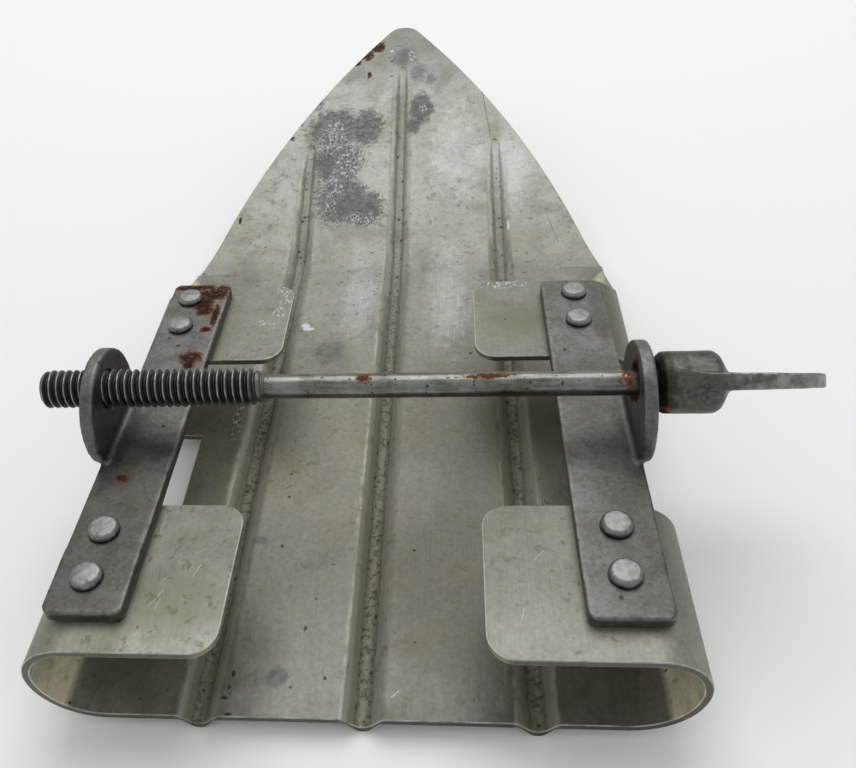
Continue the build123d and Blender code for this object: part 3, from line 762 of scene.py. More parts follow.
def sole_material(sizes, finishes):
    """Brushed aluminium with pitted grooves, oxide blotches, edge rust and scratches, and with painted
    highlights on the groove shoulders and rims, painted reflection on the toe, painted shade on the right
    rear and painted light inside the tabs.
    """
    made, tree, shader, place = new_material("sole_aluminium")
    split = add_node(tree, "ShaderNodeSeparateXYZ", {0: place})
    forward, height = split.outputs["Y"], split.outputs["Z"]
    toe_rise = calc(tree, "MAXIMUM", calc(tree, "SUBTRACT", forward, sizes.toe_start), 0.0)
    over_sole = calc(tree, "SUBTRACT", height, calc(tree, "MULTIPLY", toe_rise, math.tan(sizes.toe_angle)))
    on_sole = step_between(tree, over_sole, 6 * MM, 5 * MM)
    facing = add_node(tree, "ShaderNodeNewGeometry").outputs["True Normal"]
    facing = add_node(tree, "ShaderNodeSeparateXYZ", {0: facing})
    beneath = calc(tree, "MULTIPLY", step_between(tree, facing.outputs["Z"], -0.2, -0.5), on_sole)
    inward = calc(tree, "MULTIPLY", facing.outputs["X"], calc(tree, "SIGN", split.outputs["X"]))
    inner = calc(tree, "MAXIMUM", step_between(tree, inward, -0.1, -0.5),
                 step_between(tree, facing.outputs["Z"], -0.3, -0.7))
    grain = use_group(tree, "brushed_grain", place=place)["Streak"]
    mottle = noise_value(tree, place, 190.0, 5.0, 0.65)
    fine = noise_value(tree, place, 1300.0, 3.0, 0.6)
    masks = {"grain": grain, "mottle": mottle, "fine": fine, "beneath": beneath,
             "cloud": noise_value(tree, place, 42.0, 4.0, 0.6, 0.4),
             "tab": calc(tree, "SUBTRACT", 1.0, on_sole), "inner": inner}
    colour = sole_tone(tree, place, split, masks, finishes)
    inside = calc(tree, "MULTIPLY", on_sole, calc(tree, "SUBTRACT", 1.0, beneath))
    colour, floor_dirt, in_groove = groove_finish(tree, place, forward, inside, sizes, finishes, colour)

    torn = noise_value(tree, place, 520.0, 5.0, 0.7, 0.3)
    dots = calc(tree, "SUBTRACT", noise_value(tree, place, 1900.0, 3.0, 0.6), 0.5)
    dotted = calc(tree, "MULTIPLY_ADD", dots, 0.7, torn)
    crust = patches(tree, place, torn, OLIVE_MARKS, -0.5, 0.6, 0.9)[0]
    speckled = calc(tree, "MULTIPLY_ADD", fine, 0.9, 0.0)
    colour = lay(tree, colour, finishes.sole_olive, crust, speckled)
    # pale patches along the grain, painted reflection on the toe's right
    pale = patches(tree, place, torn, PALE_CLOUDS, -0.3, 0.7, 0.8)[0]
    colour = blend_colour(tree, calc(tree, "MULTIPLY", pale, calc(tree, "MULTIPLY", grain, 0.50)), colour,
                          finishes.sole_white)
    soft_specks = use_group(tree, "pitting", place=place, scale=560.0, cover=0.40, soft=0.12)["Mask"]
    crowd = step_between(tree, noise_value(tree, place, 55.0, 3.0), 0.34, 0.62, 0.15, 1.0)
    soft_specks = calc(tree, "MULTIPLY", soft_specks, crowd)
    colour = lay(tree, colour, finishes.sole_olive, soft_specks, 0.64)
    black_specks = use_group(tree, "specks", place=place, scale=300.0, share=0.16, size=0.12)["Mask"]
    colour = lay(tree, colour, finishes.pit, black_specks, 0.85)
    holes = patches(tree, place, dotted, PIT_MARKS, 0.05, 0.45, 1.0)[0]
    colour = lay(tree, colour, finishes.pit, holes, 0.85)

    stain = patches(tree, place, dotted, STAINS, -0.10, 0.30, 0.55)[0]
    faint = patches(tree, place, dotted, FAINT_STAINS, -0.2, 0.5, 0.7)[0]
    stained = calc(tree, "MAXIMUM", stain, calc(tree, "MULTIPLY", faint, 0.75))
    speckle = step_between(tree, noise_value(tree, place, 750.0, 4.0, 0.65), 0.34, 0.64, 0.95, 0.42)
    colour = lay(tree, colour, finishes.sole_stain, stained, speckle)
    stretched = calc_vector(tree, "MULTIPLY", place, (1.0, 0.5, 1.0))
    glint = use_group(tree, "pitting", place=stretched, scale=2000.0, cover=0.58, soft=0.14)["Mask"]
    bright = patches(tree, place, torn, SPARKLES, -0.2, 0.5, 0.9)[0]
    flake = patches(tree, place, torn, WHITE_FLAKES, 0.0, 0.12, 0.4)[0]
    sparkle = calc(tree, "MULTIPLY", calc(tree, "MULTIPLY", bright, glint), 0.62)
    white = calc(tree, "MAXIMUM", sparkle, flake)
    colour = blend_colour(tree, white, colour, finishes.sole_white)
    colour, rust = lay_rust(tree, place, colour, EDGE_RUST, finishes, 900.0, 0.6, 0.15)
    for lines, finish, share in ((DARK_LINES, finishes.pit, 0.7), (PALE_LINES, finishes.sole_white, 0.4)):
        for start, end, width in lines:
            line = use_group(tree, "scratch", place=place, start=in_metres(start), end=in_metres(end),
                             width=width * MM)["Mask"]
            colour = lay(tree, colour, finish, line, share)
    cut = add_node(tree, "ShaderNodeAttribute", attribute_name=CUT).outputs["Fac"]
    colour = lay(tree, colour, finishes.pit, cut, 0.62)
    # the rounded rims are painted light: rubbed metal and a painted highlight
    edge = use_group(tree, "worn_edge", place=place, scale=260.0)["Mask"]
    colour = lay(tree, colour, finishes.sole_white, edge, 0.42)
    tree.links.new(colour, shader.inputs["Base Color"])

    rough = calc(tree, "MULTIPLY_ADD", mottle, 0.20, calc(tree, "MULTIPLY_ADD", masks["cloud"], 0.12, 0.32))
    marks = calc(tree, "MAXIMUM", calc(tree, "MAXIMUM", stained, floor_dirt), rust)
    rough = calc(tree, "MAXIMUM", rough, calc(tree, "MULTIPLY", marks, 0.65))
    tree.links.new(rough, shader.inputs["Roughness"])
    dull = calc(tree, "MAXIMUM", calc(tree, "MAXIMUM", rust, white), calc(tree, "MULTIPLY", stained, 0.6))
    dull = calc(tree, "MAXIMUM", dull, calc(tree, "MULTIPLY", in_groove, 0.65))
    tab_film = calc(tree, "MULTIPLY", calc(tree, "MULTIPLY", inner, masks["tab"]), 0.6)
    dull = calc(tree, "MAXIMUM", dull, tab_film)
    bare = calc(tree, "MULTIPLY_ADD", mottle, -0.3, 0.80)
    tree.links.new(calc(tree, "MULTIPLY", bare, calc(tree, "SUBTRACT", 1.0, dull, clamp=True)),
                   shader.inputs["Metallic"])
    pitted = calc(tree, "MAXIMUM", floor_dirt, calc(tree, "MAXIMUM", black_specks, calc(
        tree, "MULTIPLY", soft_specks, 0.4)))
    add_bumps(tree, shader, (
        (noise_value(tree, place, 18.0, 2.0), 0.8 * MM),
        (grain, 0.012 * MM),
        (fine, 0.014 * MM),
        (calc(tree, "SUBTRACT", 1.0, pitted), 0.09 * MM),
        (calc(tree, "MAXIMUM", rust, stained), 0.03 * MM),
    ))
    return made


def rusty_steel(name, finishes, dark, light, rust_marks, worn_amount, rough_low=0.36, shade_marks=()):
    """Dark steel with thin scale, small pits, rubbed edges, dirt and rust, darkened in patches; on the
    right strap's rear the darkening is painted shade.
    """
    made, tree, shader, place = new_material(name)
    colour, rough, pits = scaled_steel(tree, place, finishes, dark, light, rough_low)
    if shade_marks:
        torn = noise_value(tree, place, 300.0, 4.0, 0.6)
        # darkens the steel with the pit colour inside the shade marks; on the right strap's rear this is
        # painted shade
        shade = patches(tree, place, torn, shade_marks, -0.4, 0.6, 0.6)[0]
        colour = lay(tree, colour, finishes.pit, shade, 0.38)
    edge = use_group(tree, "worn_edge", place=place, scale=600.0, amount=worn_amount)["Mask"]
    colour = blend_colour(tree, edge, colour, finishes.steel_worn)
    colour, rust = lay_rust(tree, place, colour, rust_marks, finishes)
    finish_steel(tree, shader, colour, rough, rust, pits)
    return made


def scaled_steel(tree, place, finishes, dark, light, rough_low):
    """The colour, roughness and pits of steel under thin mill scale."""
    mottle = noise_value(tree, place, 210.0, 6.0, 0.65)
    fine = noise_value(tree, place, 1600.0, 4.0, 0.6)
    share = step_between(tree, calc(tree, "MULTIPLY_ADD", fine, 0.50, calc(tree, "MULTIPLY", mottle, 0.75)),
                         0.46, 0.78)
    colour = blend_colour(tree, share, dark, light)
    olive = step_between(tree, noise_value(tree, place, 120.0, 5.0, 0.6), 0.50, 0.74)
    colour = lay(tree, colour, finishes.sole_olive, olive, 0.22)
    pits = use_group(tree, "specks", place=place, scale=420.0, share=0.26, size=0.20)["Mask"]
    colour = lay(tree, colour, finishes.pit, pits, 0.75)
    return colour, calc(tree, "MULTIPLY_ADD", mottle, 0.22, rough_low), pits


def finish_steel(tree, shader, colour, rough, rust, pits):
    """Joins steel's colour, gloss and bumps to its shader, dull where it rusts."""
    tree.links.new(colour, shader.inputs["Base Color"])
    dull = calc(tree, "MAXIMUM", rough, calc(tree, "MULTIPLY", rust, 0.9))
    tree.links.new(dull, shader.inputs["Roughness"])
    tree.links.new(calc(tree, "SUBTRACT", 1.0, rust, clamp=True), shader.inputs["Metallic"])
    add_bumps(tree, shader, (
        (rough, 0.5 * MM),
        (calc(tree, "SUBTRACT", 1.0, pits), 0.06 * MM),
        (calc(tree, "MULTIPLY", rust, rough), 0.18 * MM),
    ))


def head_material(finishes, boss_start, blade_start):
    """Forged head: painted shade next to the ear, greenish on the boss, rubbed light on the blade."""
    made, tree, shader, place = new_material("head_steel")
    colour, rough, pits = scaled_steel(tree, place, finishes, finishes.thread_dark, finishes.head, 0.30)
    along = add_node(tree, "ShaderNodeSeparateXYZ", {0: place}).outputs["X"]
    worn = noise_value(tree, place, 420.0, 5.0, 0.65)
    reach = calc(tree, "MULTIPLY_ADD", worn, 4 * MM, calc(tree, "SUBTRACT", along, 2 * MM))
    rubbed = step_between(tree, reach, blade_start - 3 * MM, blade_start + 3 * MM)
    bare = blend_colour(tree, step_between(tree, worn, 0.36, 0.62), finishes.head, finishes.blade)
    colour = blend_colour(tree, rubbed, colour, bare)
    # painted shade: the head is darkened where it meets the ear, and kept from wear there
    painted_ear_shade = step_between(tree, reach, boss_start + 3.2 * MM, boss_start + 1.8 * MM)
    colour = lay(tree, colour, finishes.pit, painted_ear_shade, 0.8)
    edge = use_group(tree, "worn_edge", place=place, scale=600.0, amount=1.0)["Mask"]
    colour = blend_colour(tree, calc(tree, "MULTIPLY", edge, calc(tree, "SUBTRACT", 1.0, painted_ear_shade)), colour,
                          finishes.steel_worn)
    colour, rust = lay_rust(tree, place, colour, HEAD_RUST, finishes)
    finish_steel(tree, shader, colour, rough, rust, pits)
    return made


def rivet_material(finishes, seat_height):
    """Bright peened aluminium with dirt packed round the foot of the head."""
    made, tree, shader, place = new_material("rivet_aluminium")
    height = add_node(tree, "ShaderNodeSeparateXYZ", {0: place}).outputs["Z"]
    mottle = noise_value(tree, place, 900.0, 4.0, 0.6)
    colour = blend_colour(tree, step_between(tree, mottle, 0.35, 0.65), finishes.sole_tip, finishes.rivet)
    ring = step_between(tree, calc(tree, "MULTIPLY_ADD", mottle, 0.35 * MM, height),
                        seat_height + 0.62 * MM, seat_height + 0.30 * MM)
    colour = lay(tree, colour, finishes.rust_deep, ring, 0.85)
    edge = use_group(tree, "worn_edge", place=place, scale=900.0, amount=0.8)["Mask"]
    colour = blend_colour(tree, edge, colour, finishes.sole_white)
    tree.links.new(colour, shader.inputs["Base Color"])
    rough = calc(tree, "MULTIPLY_ADD", mottle, 0.15, 0.36)
    tree.links.new(calc(tree, "MAXIMUM", rough, calc(tree, "MULTIPLY", ring, 0.75)),
                   shader.inputs["Roughness"])
    add_bumps(tree, shader, ((mottle, 0.05 * MM),))
    return made


def thread_material(finishes, axis_height, crest, root, end, run_out):
    """Dark thread, graded by radius from dark roots to light crests: oil and rubbing, with painted shade in
    the roots and a painted highlight on the crests.
    """
    made, tree, shader, place = new_material("thread_steel")
    split = add_node(tree, "ShaderNodeSeparateXYZ", {0: place})
    rise = calc(tree, "SUBTRACT", split.outputs["Z"], axis_height)
    out = calc(tree, "SQRT", calc(tree, "ADD", calc(tree, "MULTIPLY", rise, rise),
                                  calc(tree, "MULTIPLY", split.outputs["Y"], split.outputs["Y"])))
    mottle = noise_value(tree, place, 900.0, 5.0, 0.65)
    # colour by radius: oil in the roots and rubbed crests, partly painted shade in the roots and a painted
    # highlight on the crests
    flank = step_between(tree, out, root + (crest - root) * 0.20, root + (crest - root) * 0.60)
    lifted = step_between(tree, out, root + (crest - root) * 0.84, crest)
    colour = blend_colour(tree, flank, finishes.thread_dark, finishes.thread_flank)
    share = calc(tree, "MULTIPLY", lifted, step_between(tree, mottle, 0.36, 0.60, 0.25, 1.0))
    colour = blend_colour(tree, share, colour, finishes.thread_crest)
    rub = use_group(tree, "specks", place=place, scale=620.0, share=0.35, size=0.35)["Mask"]
    colour = lay(tree, colour, finishes.sole_toe, rub, lifted)
    dying = step_between(tree, split.outputs["X"], end - run_out, end - 0.3 * run_out)
    plain = blend_colour(tree, mottle, finishes.shank_dark, finishes.shank)
    colour = lay(tree, colour, plain, dying, 0.85)
    tree.links.new(colour, shader.inputs["Base Color"])
    rough = calc(tree, "MULTIPLY_ADD", lifted, -0.12, 0.42)
    tree.links.new(rough, shader.inputs["Roughness"])
    add_bumps(tree, shader, ((mottle, 0.06 * MM),))
    return made


def shank_material(finishes):
    """Plain steel rod with long rubs, dark patches and a little orange rust."""
    made, tree, shader, place = new_material("shank_steel")
    split = add_node(tree, "ShaderNodeSeparateXYZ", {0: place})
    drawn = add_node(tree, "ShaderNodeCombineXYZ", {
        0: calc(tree, "MULTIPLY", split.outputs["X"], 0.12), 1: split.outputs["Y"],
        2: split.outputs["Z"]}).outputs[0]
    mottle = noise_value(tree, place, 160.0, 6.0, 0.65)
    lines = noise_value(tree, drawn, 2600.0, 4.0, 0.6)
    share = step_between(tree, calc(tree, "MULTIPLY_ADD", lines, 0.4, calc(tree, "MULTIPLY", mottle, 0.8)),
                         0.42, 0.74)
    colour = blend_colour(tree, share, finishes.shank_dark, finishes.shank)
    pits = use_group(tree, "pitting", place=place, scale=1200.0, cover=0.26, soft=0.05)["Mask"]
    colour = lay(tree, colour, finishes.pit, pits, 0.8)
    colour, rust = lay_rust(tree, place, colour, SHANK_RUST, finishes, 900.0, 1.0, 0.35, finishes.rust_thin)
    tree.links.new(colour, shader.inputs["Base Color"])
    rough = calc(tree, "MULTIPLY_ADD", mottle, 0.20, 0.21)
    tree.links.new(calc(tree, "MAXIMUM", rough, calc(tree, "MULTIPLY", rust, 0.85)),
                   shader.inputs["Roughness"])
    tree.links.new(calc(tree, "SUBTRACT", 1.0, rust, clamp=True), shader.inputs["Metallic"])
    add_bumps(tree, shader, ((lines, 0.01 * MM), (calc(tree, "SUBTRACT", 1.0, pits), 0.05 * MM)))
    return made


# ---------------------------------------------------------------- mesh helpers


def copy_of_solid(node, name):
    """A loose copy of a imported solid's mesh, with its split corners joined again."""
    shape = bmesh.new()
    shape.from_mesh(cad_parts[node].data)
    bmesh.ops.remove_doubles(shape, verts=shape.verts, dist=0.002 * MM)
    mesh = bpy.data.meshes.new(name)
    shape.to_mesh(mesh)
    shape.free()
    piece = bpy.data.objects.new(name, mesh)
    bpy.context.scene.collection.objects.link(piece)
    return piece


def settle_modifiers(piece):
    """Turns the piece's modifiers into its mesh."""
    bpy.context.view_layer.update()
    graph = bpy.context.evaluated_depsgraph_get()
    old = piece.data
    piece.data = bpy.data.meshes.new_from_object(piece.evaluated_get(graph))
    piece.modifiers.clear()
    bpy.data.meshes.remove(old)


def points_of(mesh):
    """The mesh's points as an array."""
    points = np.empty(len(mesh.vertices) * 3)
    mesh.vertices.foreach_get("co", points)
    return points.reshape(-1, 3)


def normals_of(mesh):
    """The mesh's point normals as an array."""
    normals = np.empty(len(mesh.vertices) * 3)
    mesh.vertex_normals.foreach_get("vector", normals)
    return normals.reshape(-1, 3)


def press_dents(mesh, depth, scale, seed):
    """Pushes the surface in, never out, by seeded noise."""
    points, normals = points_of(mesh), normals_of(mesh)
    shift = Vector((seed * 3.1, seed * 1.7, seed * 2.3))
    share = np.array([noise.fractal(Vector(p) * scale + shift, 0.9, 2.0, 3) for p in points])
    share = np.clip(0.5 + 0.5 * share, 0.0, 1.0)
    points -= normals * (share * depth)[:, None]
    mesh.vertices.foreach_set("co", points.ravel())
    mesh.update()


def mark_worn_edges(mesh, gain, rounds=2):
    """Stores how far each point stands out from its neighbours, for the worn finish."""
    points, normals = points_of(mesh), normals_of(mesh)
    ends = np.empty(len(mesh.edges) * 2, dtype=np.int64)
    mesh.edges.foreach_get("vertices", ends)
    first, second = ends.reshape(-1, 2).T
    way = points[second] - points[first]
    span = np.maximum(np.linalg.norm(way, axis=1), 1e-9)
    total, count = np.zeros(len(points)), np.zeros(len(points))
    np.add.at(total, first, -np.einsum("ij,ij->i", normals[first], way) / span)
    np.add.at(total, second, np.einsum("ij,ij->i", normals[second], way) / span)
    np.add.at(count, first, 1)
    np.add.at(count, second, 1)
    worn = total / np.maximum(count, 1)
    for _ in range(rounds):
        near = np.zeros(len(points))
        np.add.at(near, first, worn[second])
        np.add.at(near, second, worn[first])
        worn = 0.5 * worn + 0.5 * near / np.maximum(count, 1)
    mark = mesh.attributes.new(WORN, "FLOAT", "POINT")
    mark.data.foreach_set("value", np.clip(worn * gain, 0.0, 1.0).astype(np.float32))


def worked_copy(node, name, cell, dent, scale, seed, passes, gain):
    """A copy of a solid with rubbed edges and a dented face."""
    piece = copy_of_solid(node, name)
    remesh = piece.modifiers.new("Cells", "REMESH")
    remesh.mode = "VOXEL"
    remesh.voxel_size = cell
    remesh.adaptivity = 0.0
    rub = piece.modifiers.new("Rub", "SMOOTH")
    rub.factor = 0.5
    rub.iterations = passes
    settle_modifiers(piece)
    press_dents(piece.data, dent, scale, seed)
    mark_worn_edges(piece.data, gain)
    piece.data.shade_smooth()
    return piece


def turned_mesh(name, rings, axis_at, axis="x", closed_ends=True):
    """A mesh from rings of radii round an axis: rings holds (place along the axis, radii)."""
    count = len(rings[0][1])
    turns = [2 * math.pi * step / count for step in range(count)]
    points = []
    for along, radii in rings:
        for turn, radius in zip(turns, radii):
            side, up = radius * math.cos(turn), radius * math.sin(turn)
            offset = (along, side, up) if axis == "x" else (side, up, along)
            points.append([start + step for start, step in zip(axis_at, offset)])
    faces = []
    for ring in range(len(rings) - 1):
        for step in range(count):
            after = (step + 1) % count
            low, high = ring * count, (ring + 1) * count
            faces.append((low + step, low + after, high + after, high + step))
    if closed_ends:
        faces.append(tuple(reversed(range(count))))
        faces.append(tuple(range((len(rings) - 1) * count, len(rings) * count)))
    mesh = bpy.data.meshes.new(name)
    mesh.from_pydata(points, [], faces)
    shape = bmesh.new()
    shape.from_mesh(mesh)
    bmesh.ops.recalc_face_normals(shape, faces=shape.faces)
    shape.to_mesh(mesh)
    shape.free()
    mesh.shade_smooth()
    mesh.set_sharp_from_angle(angle=CORNER)
    piece = bpy.data.objects.new(name, mesh)
    bpy.context.scene.collection.objects.link(piece)
    return piece


def finish_piece(piece, material, body, slot, *nodes):
    """Gives a piece its material, its body and the solids that it stands for."""
    piece.data.materials.clear()
    piece.data.materials.append(material)
    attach(piece, body)
    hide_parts(*nodes)


# ---------------------------------------------------------------- operators


class SOLEPLATE_OT_sheet(bpy.types.Operator):
    """Make the pressed aluminium sheet with its rubbed edges"""

    bl_idname = "soleplate.sheet"
    bl_label = "Sole sheet"

    def execute(self, context):
        sizes, finishes = context.scene.sole_sizes, context.scene.sole_finishes
        piece = copy_of_solid("sole_sheet", "pressed_sole")
        shape = bmesh.new()
        shape.from_mesh(piece.data)
        before = BVHTree.FromBMesh(shape)
        worn_layer = shape.faces.layers.float.new(WORN)
        cut_layer = shape.faces.layers.float.new(CUT)
        sharp = {edge for edge in shape.edges
                 if edge.is_manifold and edge.calc_face_angle() > CORNER}
        for face in self.cut_faces(shape, sharp):
            face[cut_layer] = 1.0
        rounded = bmesh.ops.bevel(shape, geom=list(sharp), offset=sizes.edge_round, segments=3,
                                  profile=0.5, affect="EDGES", clamp_overlap=False)
        # the rounded faces carry the worn mark, which the sheet's finish paints light: rubbed metal and a
        # painted highlight
        for face in rounded["faces"]:
            face[worn_layer] = 1.0
            face[cut_layer] = 0.0
        for point in shape.verts:
            near, _, _, gap = before.find_nearest(point.co)
            if gap > sizes.edge_round:
                point.co = near
        for middle, end in zip(sizes.groove_places, (sizes.side_end, sizes.middle_end, sizes.side_end)):
            self.cut_strips(shape, sizes, middle, end)
            self.press_soft(shape, sizes, middle, end)
        shape.to_mesh(piece.data)
        shape.free()
        piece.data.shade_smooth()
        piece.data.set_sharp_from_angle(angle=SOFT_BEND)
        even = piece.modifiers.new("Even shading", "WEIGHTED_NORMAL")
        even.keep_sharp = True
        finish_piece(piece, sole_material(sizes, finishes), "plate", "sheet", "sole_sheet")
        return {"FINISHED"}

    def over_sole(self, point, sizes):
        """Height of a point over a slice that holds the sole and its ribs, but no tab."""
        toe_rise = max(point.y - sizes.toe_start, 0.0) * math.tan(sizes.toe_angle)
        return point.z - toe_rise - 3 * sizes.groove_depth

    def cut_strips(self, shape, sizes, middle, end):
        """Cuts the sole into narrow strips along one groove, so that it can bend softly."""
        reach = sizes.groove_shoulder + sizes.groove_soft
        near = [
            face for face in shape.faces
            if self.over_sole(face.calc_center_median(), sizes) < 0.0
            and min(point.co.x for point in face.verts) < middle + reach
            and max(point.co.x for point in face.verts) > middle - reach
        ]
        geometry = {*near}
        for face in near:
            geometry.update(face.edges, face.verts)
        planes = [((middle + reach * share, 0, 0), (1, 0, 0)) for share in np.linspace(-1.0, 1.0, 27)]
        rows = end - sizes.groove_fade * np.linspace(0.125, 1.0, 8)
        planes += [((0, height, 0), (0, 1, 0)) for height in rows]
        geometry = list(geometry)
        for place, normal in planes:
            geometry = bmesh.ops.bisect_plane(shape, geom=geometry, dist=0.001 * MM, plane_co=place,
                                              plane_no=normal)["geom"]

    def press_soft(self, shape, sizes, middle, end):
        """Moves the strips from the groove's straight-sided section to a soft one, shallower on the toe."""
        shape.normal_update()
        reach = sizes.groove_shoulder + sizes.groove_soft
        chosen = [
            point for point in shape.verts
            if abs(point.co.x - middle) < reach and point.co.y < end
            and self.over_sole(point.co, sizes) < 0.0
        ]
        off = np.array([point.co.x - middle for point in chosen])
        forward = np.array([point.co.y for point in chosen])
        share = np.clip((end - forward) / sizes.groove_fade, 0.0, 1.0)
        upper = np.array([point.normal.z > 0.0 for point in chosen])
        thinner = sizes.groove_floor - sizes.rib_crest
        floor = np.where(upper, sizes.groove_floor, sizes.rib_crest)
        flank = np.where(upper, sizes.groove_shoulder, sizes.rib_foot) - floor
        straight = self.straight_depth(off, share, floor, flank, sizes.groove_depth)
        change = np.clip((forward - sizes.toe_start + sizes.toe_change / 3) / sizes.toe_change, 0.0, 1.0)
        toe_floor = np.where(upper, sizes.toe_floor, sizes.toe_floor - thinner)
        floor = floor + (toe_floor - floor) * change
        flank = flank + (sizes.toe_shoulder - sizes.toe_floor - flank) * change
        depth = sizes.groove_depth + (sizes.toe_depth - sizes.groove_depth) * change
        bend = sizes.groove_soft * (1.0 - 0.5 * change)
        soft = np.zeros(len(chosen))
        spread = np.linspace(-1.0, 1.0, 21)
        weights = np.cos(spread * math.pi / 2) ** 2
        for step, weight in zip(spread, weights / weights.sum()):
            soft += weight * self.straight_depth(off + step * bend, share, floor, flank, depth)
        for point, lift in zip(chosen, straight - soft):
            point.co.z += lift

    def straight_depth(self, off, share, floor, flank, depth):
        """Depth of a straight-sided groove at a distance from its middle, run out to a share."""
        side = flank * np.maximum(share, 0.001)
        return depth * share * np.clip((floor + side - np.abs(off)) / side, 0.0, 1.0)

    def cut_faces(self, shape, sharp):
        """The faces of the sheet's cut edge: the small patches that sharp edges close off."""
        found, seen = [], set()
        for start in shape.faces:
            if start in seen:
                continue
            patch, waiting = [], [start]
            seen.add(start)
            while waiting:
                face = waiting.pop()
                patch.append(face)
                for edge in face.edges:
                    if edge in sharp:
                        continue
                    fresh = [other for other in edge.link_faces if other not in seen]
                    seen.update(fresh)
                    waiting.extend(fresh)
            if sum(face.calc_area() for face in patch) < EDGE_PATCH:
                found.extend(patch)
        return found


class SOLEPLATE_OT_straps(bpy.types.Operator):
    """Make the two steel straps with their turned-up ears"""

    bl_idname = "soleplate.straps"
    bl_label = "Clamp straps"

    def execute(self, context):
        sizes, finishes = context.scene.strap_sizes, context.scene.sole_finishes
        rust = {"left": LEFT_STRAP_RUST, "right": RIGHT_STRAP_RUST}
        shade = {"left": LEFT_STRAP_SHADE, "right": RIGHT_STRAP_SHADE}
        for seed, side in enumerate(SIDES, start=1):
            piece = worked_copy(side + "_strap", side + "_clamp_strap", sizes.cell, sizes.dent, 260.0,
                                seed, 4, 2.2)
            steel = rusty_steel(side + "_strap_steel", finishes, finishes.steel_dark,
                                finishes.steel_light, rust[side], 1.0, shade_marks=shade[side])
            finish_piece(piece, steel, "plate", "strap", side + "_strap")
        return {"FINISHED"}


class SOLEPLATE_OT_rivets(bpy.types.Operator):
    """Make the peened rivets that hold the straps"""

    bl_idname = "soleplate.rivets"
    bl_label = "Rivets"

    def execute(self, context):
        sizes, finishes = context.scene.rivet_sizes, context.scene.sole_finishes
        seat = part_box("left_strap")[0].z + context.scene.strap_sizes.thickness
        steel = rivet_material(finishes, seat)
        nodes = [f"rivet_{side}_{number}" for side in SIDES for number in range(1, RIVETS_A_SIDE + 1)]
        for seed, node in enumerate(nodes, start=12):
            piece = self.peened(node, seat, sizes, seed)
            finish_piece(piece, steel, "plate", "rivet", node)
        return {"FINISHED"}

    def peened(self, node, seat, sizes, seed):
        """One rivet: lower head, shank and a crowned head with hammer marks."""
        low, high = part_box(node)
        head_r = (high.x - low.x) / 2
        crown = high.z - seat
        levels = [(low.z - sizes.tail_height, sizes.tail * 0.7),
                  (low.z - sizes.tail_height * 0.7, sizes.tail * 0.95),
                  (low.z - SKIN, sizes.tail), (low.z - SKIN, sizes.shank),
                  (seat + SKIN, sizes.shank), (seat + SKIN, head_r * 0.93)]
        wall, shoulder = 0.16, 0.94         # heights on the crown, as shares of it
        rounds, flats, segments = 12, 4, 56
        levels.append((seat + wall * crown, head_r))
        for step in range(1, rounds + 1):
            turn = 0.5 * math.pi * step / rounds
            radius = sizes.flat + (head_r - sizes.flat) * math.cos(turn)
            levels.append((seat + crown * (wall + (shoulder - wall) * math.sin(turn)), radius))
        for step in range(1, flats + 1):
            rise = (1 - shoulder) * (step / flats) ** 0.5
            levels.append((seat + crown * (shoulder + rise), sizes.flat * (1 - step / (flats + 0.2))))
        rings = [(height - low.z, [radius] * segments) for height, radius in levels]
        centre = ((low.x + high.x) / 2, (low.y + high.y) / 2, low.z)
        piece = turned_mesh("peened_" + node, rings, centre, "z")
        press_dents(piece.data, sizes.dent, 900.0, seed)
        mark_worn_edges(piece.data, 2.0, 1)
        return piece


class SOLEPLATE_OT_thread(bpy.types.Operator):
    """Cut the thread on the screw's end"""

    bl_idname = "soleplate.thread"
    bl_label = "Threaded end"

    def execute(self, context):
        sizes, finishes = context.scene.screw_sizes, context.scene.sole_finishes
        low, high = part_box("threaded_end")
        shank_r = (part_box("screw_shank")[1].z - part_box("screw_shank")[0].z) / 2
        crest = (high.z - low.z) / 2
        root = crest - sizes.depth
        axis_at = (low.x, 0.0, (low.z + high.z) / 2)
        length = high.x - low.x
        segments, steps_a_turn = 72, 14
        floor, wall, sharpness = 0.10, 0.76, 1.2        # the thread's section, in shares of half a pitch
        start = 0.35                                    # the thread's height at the screw's tip, as a share
        rings = [(0.0, [crest * 0.3] * segments)]
        for step in range(int(length / sizes.pitch * steps_a_turn) + 1):
            along = min(length, step * sizes.pitch / steps_a_turn)
            limit = min(crest, root + (start + along / sizes.chamfer) * sizes.depth)
            left = (length - along) / sizes.run_out
            bottom = root
            if left < 1.0:
                bottom = shank_r + (root - shank_r) * left
                limit = min(limit, shank_r + (crest - shank_r) * left ** 0.7)
            radii = []
            for spoke in range(segments):
                turn = along / sizes.pitch - spoke / segments
                wave = abs((turn % 1.0) * 2 - 1)
                lift = min(1.0, max(0.0, (wave - floor) / wall)) ** sharpness
                radii.append(min(limit, bottom + sizes.depth * lift))
            rings.append((along, radii))
        rings.append((length, [shank_r * 1.02] * segments))
        piece = turned_mesh("cut_thread", rings, axis_at)
        piece.data.set_sharp_from_angle(angle=math.pi)
        steel = thread_material(finishes, axis_at[2], crest, root, high.x, sizes.run_out)
        finish_piece(piece, steel, "screw_spin", "screw", "threaded_end")
        return {"FINISHED"}


